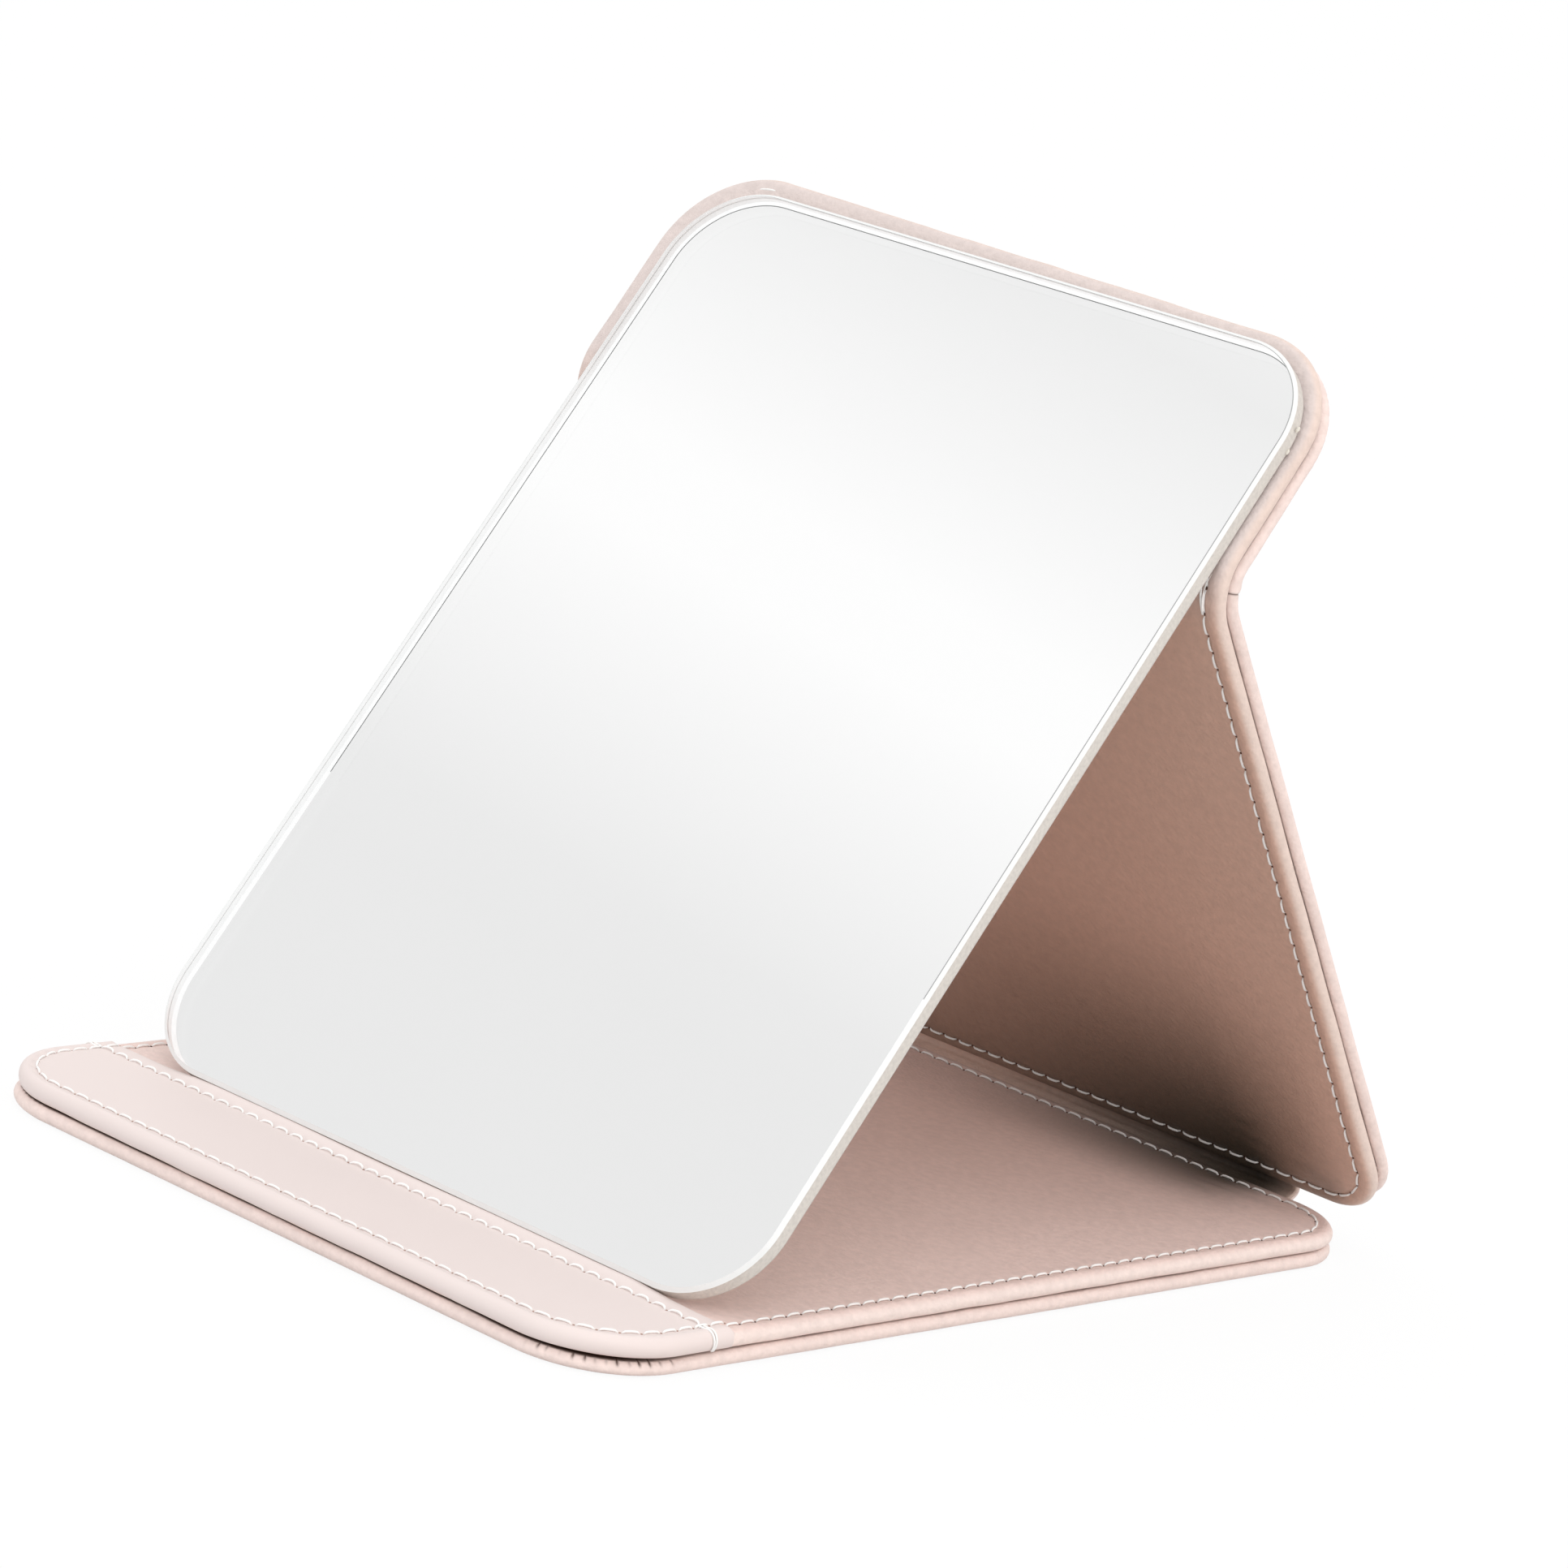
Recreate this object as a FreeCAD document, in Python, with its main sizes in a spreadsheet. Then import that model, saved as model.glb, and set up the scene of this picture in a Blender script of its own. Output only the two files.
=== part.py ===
"""Folding table mirror in a stitched case.

The case opens like a book. Its base lies on the table, its rear panel leans forward from the
spine, and its upper panel folds back from the crease and carries the glass, whose foot stands on
the base behind a raised front strip. Millimetres, +Z up, origin under the middle of the base.
"""
import FreeCAD
import Part
import Sketcher
import math
import os

# Driving dimensions: alias, value in millimetres, what it is.
SIZES = [
    ("panel_width", 150, "width of every panel of the case"),
    ("base_length", 197, "front edge to spine edge of the base"),
    ("rear_length", 137, "spine edge of the rear panel to the start of the crease"),
    ("upper_length", 40.2, "end of the crease to the top edge of the upper panel"),
    ("front_corner", 18.5, "corner radius at the front of the base"),
    ("spine_corner", 15.5, "corner radius of the base beside the spine"),
    ("rear_corner", 12, "corner radius of the rear panel beside the spine"),
    ("top_corner", 19, "corner radius at the top of the upper panel"),
    ("leather", 0.7, "thickness of the leather and of its turned hem"),
    ("board", 1.5, "room for the board inside each layer"),
    ("edge_wall", 1.6, "rolled leather between the board and the outside"),
    ("edge_roll", 1.2, "radius of the rolled edges"),
    ("hem_width", 12, "width of the turned hem"),
    ("hem_corner", 4, "corner radius of the window inside the hem"),
    ("fit_gap", 0.05, "clearance of a piece laid inside another"),
    ("stitch_inset", 3.2, "panel edge to the middle of the stitching"),
    ("stitch_width", 0.8, "width of the thread"),
    ("stitch_height", 0.25, "height of the thread above the leather"),
    ("strip_depth", 30.5, "front edge of the base to the rear edge of the front strip"),
    ("strip_rise", 0.6, "height of the front strip above the base leather"),
    ("strip_seam", 4.8, "rear edge of the front strip to its seam"),
    ("strip_round", 0.3, "rounding of the front strip's top edge"),
    ("spine_free", 11, "length of the spine band between the two panels"),
    ("spine_lead", 4.2, "level stretch of the spine band behind the base"),
    ("spine_set_in", 6.7, "start of the base's corner to the end of the spine band"),
    ("spine_tail", 0.3, "straight stretch of the spine band below the rear panel"),
    ("crease_free", 12, "length of the crease at the middle of its thickness"),
    ("pinch_depth", 1.6, "depth of the pinched line in the outer crease"),
    ("pinch_width", 0.4, "width of the pinched line"),
    ("glass_side_margin", 4, "side of the panels to the side of the glass, if it were in the middle"),
    ("glass_shift", 2.4, "middle of the case to the middle of the glass, to the right"),
    ("glass_length", 188.5, "length of the glass"),
    ("glass_thickness", 3, "thickness of the glass"),
    ("glass_corner", 16.5, "corner radius of the glass"),
    ("glass_bevel", 0.7, "ground bevel round the front of the glass"),
    ("glass_top_margin", 4.4, "top edge of the upper panel to the top of the glass"),
    ("backing_thickness", 0.15, "thickness of the protective film behind the glass"),
    ("backing_inset", 0.4, "edge of the glass to the edge of its film"),
    ("adhesive_thickness", 0.55, "thickness of the adhesive sheet"),
    ("adhesive_inset", 6, "edge of the glass or of the crease to the adhesive"),
    ("adhesive_corner", 6, "corner radius of the adhesive sheet"),
    ("foot_gap", 0.15, "foot of the glass above the base leather"),
    ("strip_gap", 0.29, "rear edge of the front strip to the ground foot of the glass over it"),
]

X_AXIS = FreeCAD.Vector(1, 0, 0)
RIGHT_ANGLE = 90
STRAIGHT_ANGLE = 180
THIRD_OF_A_TURN = 120
# Turns X to Y, Y to Z and Z to X, so that a cylinder lies across the case.
LYING_ACROSS = FreeCAD.Rotation(FreeCAD.Vector(1, 1, 1), THIRD_OF_A_TURN)

# Edges nearer than this to a plane lie on it.
ON_PLANE = 1e-4

# How sketch rules number the ends of a line or arc, and the sketch's own origin.
START_INDEX = 1
END_INDEX = 2
ORIGIN_INDEX = -1

# Where the search for the standing angles starts, in degrees, and how it goes on.
FIRST_LEAN = 53
FIRST_TILT = 55
SEARCH_STEP = 1e-6
SEARCH_ROUNDS = 30

doc = FreeCAD.newDocument("folding_mirror")
sheet = doc.addObject("Spreadsheet::Sheet", "Sizes")


class Size:
    """A length with its number and the formula on the sheet that gives it."""

    def __init__(self, value, text):
        self.value = value
        self.text = text

    def join(self, other, sign, value):
        return Size(value, f"({self.text} {sign} {other.text})")

    def __add__(self, other):
        other = as_size(other)
        return self.join(other, "+", self.value + other.value)

    def __sub__(self, other):
        other = as_size(other)
        return self.join(other, "-", self.value - other.value)

    def __mul__(self, other):
        other = as_size(other)
        return self.join(other, "*", self.value * other.value)

    def __truediv__(self, other):
        other = as_size(other)
        return self.join(other, "/", self.value / other.value)

    def __neg__(self):
        return Size(-self.value, f"(0 - {self.text})")


def as_size(amount):
    if isinstance(amount, Size):
        return amount
    return Size(amount, str(amount))


def enter(row, alias, value, note=""):
    """Put one named number on the sheet."""
    sheet.set(f"A{row}", note)
    sheet.set(f"B{row}", str(value))
    sheet.setAlias(f"B{row}", alias)
    return Size(value, f"Sizes.{alias}")


size = {}
for row, (alias, value, note) in enumerate(SIZES, start=1):
    size[alias] = enter(row, alias, value, note)
doc.recompute()

half_width = size["panel_width"] / 2
layer = size["leather"] * 2 + size["board"]
inner_face = layer * 2
core = size["leather"] * 2
band_half_width = half_width - size["spine_corner"] - size["spine_set_in"]
glass_back = inner_face + size["adhesive_thickness"] + size["backing_thickness"]
glass_half_width = half_width - size["glass_side_margin"]
glass_top = size["upper_length"] / 2 - size["glass_top_margin"]
glass_foot = glass_top - size["glass_length"]
strip_back = size["strip_depth"] - size["base_length"] / 2
strip_top = inner_face + size["strip_rise"]


def along(angle):
    """Unit vector in the side view, at an angle from straight back."""
    return FreeCAD.Vector(0, math.cos(angle), math.sin(angle))


def side_normal(angle):
    """Unit vector square to a panel, towards its inner face."""
    return FreeCAD.Vector(0, -math.sin(angle), math.cos(angle))


def stand_up(rear_lean, mirror_tilt):
    """Fold the case to the two given angles and return the places of its folds."""
    rear_heading = math.pi - rear_lean
    spine_bend = size["spine_free"] - size["spine_lead"] - size["spine_tail"]
    spine_radius = spine_bend.value / rear_heading
    lead_end = (size["base_length"] / 2 + size["spine_lead"]).value
    spine_centre = FreeCAD.Vector(0, lead_end, layer.value + spine_radius)
    spine_end = spine_centre - side_normal(rear_heading) * spine_radius
    rear_start = spine_end + along(rear_heading) * size["spine_tail"].value
    rear_end = rear_start + along(rear_heading) * size["rear_length"].value
    crease_turn = rear_heading - mirror_tilt
    crease_radius = size["crease_free"].value / crease_turn
    crease_centre = rear_end - side_normal(rear_heading) * crease_radius
    upper_start = crease_centre + side_normal(mirror_tilt) * crease_radius
    upper_middle = upper_start + along(mirror_tilt) * (size["upper_length"] / 2).value
    foot_line = upper_middle + along(mirror_tilt) * glass_foot.value
    foot_back = foot_line + side_normal(mirror_tilt) * (glass_back - layer).value
    foot_front = foot_back + side_normal(mirror_tilt) * size["glass_thickness"].value
    return {
        "spine_radius": spine_radius,
        "spine_centre": spine_centre,
        "rear_start": rear_start,
        "rear_middle": rear_start + along(rear_heading) * (size["rear_length"] / 2).value,
        "crease_radius": crease_radius,
        "crease_centre": crease_centre,
        "upper_middle": upper_middle,
        "foot_back": foot_back,
        "foot_front": foot_front,
    }


def foot_error(rear_lean, mirror_tilt):
    """How far the foot of the glass is too high above the base and too far from the front strip."""
    folded = stand_up(rear_lean, mirror_tilt)
    strip_edge = FreeCAD.Vector(0, strip_back.value, strip_top.value)
    strip_to_foot = (folded["foot_front"] - strip_edge).dot(along(mirror_tilt))
    too_high = folded["foot_back"].z - (inner_face + size["foot_gap"]).value
    too_far = strip_to_foot - size["strip_gap"].value
    return too_high, too_far


def standing_angles():
    """Lean of the rear panel and tilt of the glass at which the foot stands in its place."""
    lean, tilt = math.radians(FIRST_LEAN), math.radians(FIRST_TILT)
    for search in range(SEARCH_ROUNDS):
        high, far = foot_error(lean, tilt)
        high_by_lean, far_by_lean = foot_error(lean + SEARCH_STEP, tilt)
        high_by_tilt, far_by_tilt = foot_error(lean, tilt + SEARCH_STEP)
        high_per_lean = (high_by_lean - high) / SEARCH_STEP
        high_per_tilt = (high_by_tilt - high) / SEARCH_STEP
        far_per_lean = (far_by_lean - far) / SEARCH_STEP
        far_per_tilt = (far_by_tilt - far) / SEARCH_STEP
        scale = high_per_lean * far_per_tilt - high_per_tilt * far_per_lean
        lean -= (high * far_per_tilt - far * high_per_tilt) / scale
        tilt -= (far * high_per_lean - high * far_per_lean) / scale
    return lean, tilt


lean, tilt = standing_angles()
places = stand_up(lean, tilt)
found = [
    ("rear_lean", math.degrees(lean), "rear panel from level, in degrees"),
    ("mirror_tilt", math.degrees(tilt), "glass from level, in degrees"),
    ("spine_radius", places["spine_radius"], "bend of the spine"),
    ("crease_radius", places["crease_radius"], "bend of the crease"),
]
for row, (alias, value, note) in enumerate(found, start=len(SIZES) + 1):
    size[alias] = enter(row, alias, value, note)
doc.recompute()
rear_lean = size["rear_lean"]
mirror_tilt = size["mirror_tilt"]
spine_radius = size["spine_radius"]
crease_radius = size["crease_radius"]


def panel_placement(middle, heading):
    """Place of a panel drawn flat, outer face down, about its own middle."""
    corner = middle - side_normal(heading) * layer.value
    return FreeCAD.Placement(corner, FreeCAD.Rotation(X_AXIS, math.degrees(heading)))


base_middle = FreeCAD.Vector(0, 0, layer.value)
PANELS = {
    "base": {
        "length": size["base_length"],
        "low_corner": size["front_corner"],
        "high_corner": size["spine_corner"],
        "spine_side": 1,
        "crease_side": 0,
        "placement": panel_placement(base_middle, 0),
    },
    "rear": {
        "length": size["rear_length"],
        "low_corner": size["rear_corner"],
        "high_corner": None,
        "spine_side": -1,
        "crease_side": 1,
        "placement": panel_placement(places["rear_middle"], math.pi - lean),
    },
    "upper": {
        "length": size["upper_length"],
        "low_corner": None,
        "high_corner": size["top_corner"],
        "spine_side": 0,
        "crease_side": -1,
        "placement": panel_placement(places["upper_middle"], tilt),
    },
}
upper_placement = PANELS["upper"]["placement"]
nodes = []


def new_body(label, placement):
    body = doc.addObject("PartDesign::Body", label)
    body.Label = label
    body.Placement = placement
    nodes.append(body)
    return body


def new_sketch(body, name, height):
    """A sketch on the body's own level plane, lifted to a height."""
    sketch = body.newObject("Sketcher::SketchObject", f"{body.Name}_{name}_sketch")
    plane = [item for item in body.Origin.OriginFeatures if item.Role == "XY_Plane"][0]
    sketch.AttachmentSupport = [(plane, "")]
    sketch.MapMode = "FlatFace"
    sketch.setExpression("AttachmentOffset.Base.z", height.text)
    return sketch


def rounded_corner(before, here, after, radius):
    """Start, end and arc of a rounded corner, and whether the arc runs the way of the outline."""
    arriving = (here - before).normalize()
    leaving = (after - here).normalize()
    start = here - arriving * radius
    end = here + leaving * radius
    middle = start + leaving * radius
    turns_left = arriving.cross(leaving).z > 0
    first, last = (start, end) if turns_left else (end, start)
    from_angle = math.atan2(first.y - middle.y, first.x - middle.x)
    to_angle = math.atan2(last.y - middle.y, last.x - middle.x)
    circle = Part.Circle(middle, FreeCAD.Vector(0, 0, 1), radius)
    return start, end, Part.ArcOfCircle(circle, from_angle, to_angle), turns_left


def trace(sketch, corners):
    """Draw a closed outline of level and upright lines; each corner is x, y and a radius or None."""
    points = [FreeCAD.Vector(x.value, y.value, 0) for x, y, radius in corners]
    count = len(corners)
    starts = list(points)
    ends = list(points)
    arcs = {}
    for i, (x, y, radius) in enumerate(corners):
        if radius is not None:
            rounded = rounded_corner(points[i - 1], points[i], points[(i + 1) % count], radius.value)
            starts[i], ends[i] = rounded[0], rounded[1]
            arcs[i] = rounded[2:]
    lines = []
    for i in range(count):
        segment = Part.LineSegment(ends[i], starts[(i + 1) % count])
        lines.append(sketch.addGeometry(segment, False))
    rules = []
    formulas = []
    for i, line in enumerate(lines):
        x, y, radius = corners[i]
        run = points[(i + 1) % count] - points[i]
        upright = abs(run.x) < abs(run.y)
        direction, distance = ("Vertical", "DistanceX") if upright else ("Horizontal", "DistanceY")
        place = x if upright else y
        rules.append(Sketcher.Constraint(direction, line))
        formulas.append((len(rules), place))
        from_origin = (ORIGIN_INDEX, START_INDEX, line, START_INDEX)
        rules.append(Sketcher.Constraint(distance, *from_origin, place.value))
        before = lines[i - 1]
        if radius is None:
            rules.append(Sketcher.Constraint("Coincident", before, END_INDEX, line, START_INDEX))
            continue
        arc, runs_along = arcs[i]
        bend = sketch.addGeometry(arc, False)
        way_in, way_out = (START_INDEX, END_INDEX) if runs_along else (END_INDEX, START_INDEX)
        rules.append(Sketcher.Constraint("Tangent", before, END_INDEX, bend, way_in))
        rules.append(Sketcher.Constraint("Tangent", bend, way_out, line, START_INDEX))
        formulas.append((len(rules), radius))
        rules.append(Sketcher.Constraint("Radius", bend, radius.value))
    first = sketch.ConstraintCount
    sketch.addConstraint(rules)
    for index, amount in formulas:
        sketch.renameConstraint(first + index, f"size_{first + index}")
        sketch.setExpression(f"Constraints.size_{first + index}", amount.text)


def rectangle(half, low, high, low_corner=None, high_corner=None, middle=as_size(0)):
    """Corners of an upright rectangle about the middle line, or about a line beside it."""
    return [
        (middle - half, low, low_corner),
        (middle + half, low, low_corner),
        (middle + half, high, high_corner),
        (middle - half, high, high_corner),
    ]


def smaller(corner, inset):
    """Radius of an outline that runs inside a rounded corner."""
    return None if corner is None else corner - inset


def panel_outline(panel, inset):
    """Outline of a panel, the same distance inside it all round."""
    half_length = panel["length"] / 2
    corners = (smaller(panel["low_corner"], inset), smaller(panel["high_corner"], inset))
    return rectangle(half_width - inset, inset - half_length, half_length - inset, *corners)


def pad(body, name, height, thickness, *outlines):
    """Raise a solid from outlines drawn at a height."""
    sketch = new_sketch(body, name, height)
    for outline in outlines:
        trace(sketch, outline)
    feature = body.newObject("PartDesign::Pad", f"{body.Name}_{name}")
    feature.Profile = sketch
    feature.setExpression("Length", thickness.text)
    doc.recompute()
    return feature


def pocket(body, name, height, depth, outline):
    """Cut upwards from an outline drawn at a height, and make sure that something is cut."""
    volume = body.Shape.Volume
    sketch = new_sketch(body, name, height)
    trace(sketch, outline)
    feature = body.newObject("PartDesign::Pocket", f"{body.Name}_{name}")
    feature.Profile = sketch
    feature.Reversed = True
    feature.setExpression("Length", depth.text)
    doc.recompute()
    if body.Shape.Volume >= volume:
        raise RuntimeError(f"{body.Label}: {name} cuts nothing")
    return feature


def lies_at(lowest, highest, place):
    """Whether a stretch from lowest to highest lies at one place."""
    return abs(lowest - place) < ON_PLANE and abs(highest - place) < ON_PLANE


def rim_edges(feature, heights, skip_end=None):
    """Names of the outline's edges at the given heights, without those on the skipped end."""
    names = []
    for number, edge in enumerate(feature.Shape.Edges, start=1):
        box = edge.BoundBox
        level = any(lies_at(box.ZMin, box.ZMax, height) for height in heights)
        on_end = skip_end is not None and lies_at(box.YMin, box.YMax, skip_end)
        if level and not on_end:
            names.append(f"Edge{number}")
    return names


def soften(body, feature, kind, amount_name, amount, edges):
    """Round or bevel some edges of a feature."""
    finish = body.newObject(f"PartDesign::{kind}", f"{body.Name}_{kind.lower()}")
    finish.Base = (feature, edges)
    finish.setExpression(amount_name, amount.text)
    doc.recompute()
    return finish


def make_skin(panel_name, side):
    """Leather of one layer: a rolled edge round a board, with its hem turned over the board."""
    panel = PANELS[panel_name]
    body = new_body(f"{panel_name}_{side}_skin", panel["placement"])
    foot = as_size(0) if side == "outer" else layer
    slab = pad(body, "slab", foot, layer, panel_outline(panel, as_size(0)))
    crease_end = panel["crease_side"] * panel["length"].value / 2 if panel["crease_side"] else None
    rims = rim_edges(slab, (foot.value, foot.value + layer.value), crease_end)
    soften(body, slab, "Fillet", "Radius", size["edge_roll"], rims)
    board_outline = panel_outline(panel, size["edge_wall"])
    pocket(body, "board_room", foot + size["leather"], size["board"], board_outline)
    hem_foot = foot + size["leather"] + size["board"] if side == "outer" else foot
    pocket(body, "hem_window", hem_foot, size["leather"], hem_window(panel, as_size(0)))
    if panel["spine_side"]:
        pocket(body, "spine_slot", hem_foot, size["leather"], spine_slot(panel))


def hem_window(panel, inset):
    """Window inside the turned hem."""
    half_length = panel["length"] / 2 - size["hem_width"] - inset
    half = half_width - size["hem_width"] - inset
    corner = size["hem_corner"] - inset
    return rectangle(half, -half_length, half_length, corner, corner)


def spine_slot(panel):
    """Gap in the hem where the spine band goes in, from the window out past the edge."""
    inside = panel["length"] / 2 - size["hem_width"] - size["hem_corner"]
    outside = panel["length"] / 2 + size["edge_roll"]
    if panel["spine_side"] > 0:
        return rectangle(band_half_width, inside, outside)
    return rectangle(band_half_width, -outside, -inside)


def make_filling(panel_name):
    """Boards inside the two layers, and the sheet that joins the layers inside their hems."""
    panel = PANELS[panel_name]
    gap = size["fit_gap"]
    board_outline = panel_outline(panel, size["edge_wall"] + gap)
    for side, foot in (("outer", size["leather"]), ("inner", layer + size["leather"])):
        body = new_body(f"{panel_name}_{side}_board", panel["placement"])
        pad(body, "slab", foot + gap, size["board"] - gap * 2, board_outline)
    body = new_body(f"{panel_name}_core_sheet", panel["placement"])
    pad(body, "slab", layer - size["leather"] + gap, core - gap * 2, hem_window(panel, gap))


def stitch_row(open_end, closed_end, corner, way):
    """A row of thread along both sides and round one end of a panel; way is that end's side."""
    near = size["stitch_inset"] - size["stitch_width"] / 2
    far = size["stitch_inset"] + size["stitch_width"] / 2
    near_end = closed_end - near * way
    far_end = closed_end - far * way
    near_half = half_width - near
    far_half = half_width - far
    near_corner = corner - near
    far_corner = corner - far
    return [
        (-near_half, open_end, None),
        (-near_half, near_end, near_corner),
        (near_half, near_end, near_corner),
        (near_half, open_end, None),
        (far_half, open_end, None),
        (far_half, far_end, far_corner),
        (-far_half, far_end, far_corner),
        (-far_half, open_end, None),
    ]


def make_stitching():
    """Thread round the edges of the panels."""
    base = PANELS["base"]
    base_half = size["base_length"] / 2
    rear_half = size["rear_length"] / 2
    upper_half = size["upper_length"] / 2
    on_base = stitch_row(strip_back + size["fit_gap"], base_half, size["spine_corner"], 1)
    on_rear = stitch_row(rear_half, -rear_half, size["rear_corner"], -1)
    on_upper = stitch_row(-upper_half, upper_half, size["top_corner"], 1)
    for name, row in (("base", on_base), ("rear", on_rear), ("upper", on_upper)):
        body = new_body(f"{name}_edge_stitching", PANELS[name]["placement"])
        pad(body, "thread", inner_face, size["stitch_height"], row)
    seam = strip_back - size["strip_seam"]
    seam_half = half_width - size["stitch_inset"] - size["stitch_width"]
    seam_row = rectangle(seam_half, seam - size["stitch_width"] / 2, seam + size["stitch_width"] / 2)
    front_row = stitch_row(seam - size["stitch_width"], -base_half, size["front_corner"], -1)
    for name, row in (("strip_edge_stitching", front_row), ("strip_seam_stitching", seam_row)):
        body = new_body(name, base["placement"])
        pad(body, "thread", strip_top, size["stitch_height"], row)


def make_front_strip():
    """Raised strip across the front of the base, which stops the foot of the glass."""
    body = new_body("front_strip", PANELS["base"]["placement"])
    roll = size["edge_roll"]
    front = roll - size["base_length"] / 2
    outline = rectangle(half_width - roll, front, strip_back, size["front_corner"] - roll)
    slab = pad(body, "slab", inner_face, size["strip_rise"], outline)
    soften(body, slab, "Fillet", "Radius", size["strip_round"], rim_edges(slab, (strip_top.value,)))


def make_mirror():
    """Glass with its film, held on the upper panel by an adhesive sheet."""
    half = glass_half_width
    shift = size["glass_shift"]
    corner = size["glass_corner"]
    glass = new_body("mirror_glass", upper_placement)
    outline = rectangle(half, glass_foot, glass_top, corner, corner, shift)
    slab = pad(glass, "slab", glass_back, size["glass_thickness"], outline)
    front = glass_back + size["glass_thickness"]
    soften(glass, slab, "Chamfer", "Size", size["glass_bevel"], rim_edges(slab, (front.value,)))

    inset = size["backing_inset"]
    film = new_body("mirror_backing", upper_placement)
    rounded = corner - inset
    outline = rectangle(half - inset, glass_foot + inset, glass_top - inset, rounded, rounded, shift)
    pad(film, "film", inner_face + size["adhesive_thickness"], size["backing_thickness"], outline)

    inset = size["adhesive_inset"]
    corner = size["adhesive_corner"]
    sheet_low = inset - size["upper_length"] / 2
    adhesive = new_body("mirror_adhesive", upper_placement)
    outline = rectangle(half - inset, sheet_low, glass_top - inset, corner, corner, shift)
    pad(adhesive, "sheet", inner_face, size["adhesive_thickness"], outline)


def named(kind, name, **amounts):
    """A primitive with its sizes bound to the sheet."""
    item = doc.addObject(f"Part::{kind}", name)
    for key, amount in amounts.items():
        item.setExpression(key, amount.text)
    return item


def cut(name, base, tool):
    result = doc.addObject("Part::Cut", name)
    result.Base = base
    result.Tool = tool
    return result


def ring(name, inside, outside, width, turn, centre, start):
    """Part of a ring lying across the case, from a start angle in degrees through a turn."""
    spin = FreeCAD.Rotation(X_AXIS, start) * LYING_ACROSS
    place = FreeCAD.Placement(centre - X_AXIS * (width.value / 2), spin)
    full = named("Cylinder", f"{name}_round", Radius=outside, Height=width, Angle=turn)
    hole = named("Cylinder", f"{name}_hole", Radius=inside, Height=width)
    full.Placement = place
    hole.Placement = place
    return cut(f"{name}_ring", full, hole)


def tongue(name, width, length, thickness, corner, heading):
    """Flat stretch of a band, from a corner along a heading."""
    item = named("Box", name, Length=width, Width=length, Height=thickness)
    item.Placement = FreeCAD.Placement(corner, FreeCAD.Rotation(X_AXIS, math.degrees(heading)))
    return item


def make_spine():
    """Two bonded bands of leather, tucked between the layers of the base and of the rear panel."""
    gap = size["fit_gap"]
    width = (band_half_width - gap) * 2
    thickness = size["leather"] - gap * 2
    heading = math.pi - lean
    turn = as_size(STRAIGHT_ANGLE) - rear_lean
    tuck = size["hem_width"] - gap
    side = X_AXIS * (-width.value / 2)
    tuck_start = FreeCAD.Vector(0, (size["base_length"] / 2 - tuck).value, layer.value) + side
    rear_foot = places["rear_start"] - along(heading) * size["spine_tail"].value + side
    for name, lift, inside in (
        ("spine_outer_band", gap - size["leather"], spine_radius + gap),
        ("spine_inner_band", gap, spine_radius - size["leather"] + gap),
    ):
        bend = ring(name, inside, inside + thickness, width, turn, places["spine_centre"], -RIGHT_ANGLE)
        level_start = tuck_start + side_normal(0) * lift.value
        level = tongue(f"{name}_front", width, tuck + size["spine_lead"], thickness, level_start, 0)
        rise_start = rear_foot + side_normal(heading) * lift.value
        rise = tongue(f"{name}_back", width, tuck + size["spine_tail"], thickness, rise_start, heading)
        band = doc.addObject("Part::MultiFuse", name)
        band.Shapes = [level, bend, rise]
        band.Label = name
        nodes.append(band)


def roll_sides(name, base):
    """Round the curved edges at both ends of a ring."""
    doc.recompute()
    radius = size["edge_roll"].value
    side = half_width.value
    edges = []
    for number, edge in enumerate(base.Shape.Edges, start=1):
        box = edge.BoundBox
        on_side = lies_at(box.XMin, box.XMax, side) or lies_at(box.XMin, box.XMax, -side)
        if on_side and isinstance(edge.Curve, Part.Circle):
            edges.append((number, radius, radius))
    rolled = doc.addObject("Part::Fillet", name)
    rolled.Base = base
    rolled.Edges = edges
    return rolled


def make_crease():
    """The leather bent between the rear and upper panels; the outer layer is pinched."""
    turn = as_size(STRAIGHT_ANGLE) - rear_lean - mirror_tilt
    start = mirror_tilt.value + RIGHT_ANGLE
    width = size["panel_width"]
    centre = places["crease_centre"]
    gap = size["fit_gap"]
    least = crease_radius - layer
    most = crease_radius + layer
    outer_ring = ring("crease_outer", least, crease_radius - gap, width, turn, centre, start)
    inner_ring = ring("crease_inner", crease_radius + gap, most, width, turn, centre, start)
    inner = roll_sides("crease_inner_band", inner_ring)
    rolled = roll_sides("crease_outer_rolled", outer_ring)
    middle = math.radians(start + turn.value / 2)
    depth = size["pinch_depth"] + layer
    pinch = named("Box", "crease_pinch", Length=width, Width=depth, Height=size["pinch_width"])
    reach = (least + size["pinch_depth"] - depth).value
    corner = centre + along(middle) * reach - side_normal(middle) * (size["pinch_width"] / 2).value
    corner -= X_AXIS * half_width.value
    pinch.Placement = FreeCAD.Placement(corner, FreeCAD.Rotation(X_AXIS, math.degrees(middle)))
    outer = cut("crease_outer_band", rolled, pinch)
    for name, item in (("crease_inner_band", inner), ("crease_outer_band", outer)):
        item.Label = name
        nodes.append(item)


def check_document():
    """Stop if any object failed, or if a piece is empty or broken."""
    doc.recompute()
    for item in doc.Objects:
        if "Invalid" in item.State or "Error" in item.State:
            raise RuntimeError(f"{item.Label} failed: {item.State}")
    for node in nodes:
        shape = node.Shape
        if shape.isNull() or not shape.isValid() or len(shape.Solids) != 1:
            raise RuntimeError(f"{node.Label} isn't one valid solid")


for panel_name in PANELS:
    make_skin(panel_name, "outer")
    make_skin(panel_name, "inner")
    make_filling(panel_name)
make_front_strip()
make_stitching()
make_spine()
make_crease()
make_mirror()
check_document()

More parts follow.
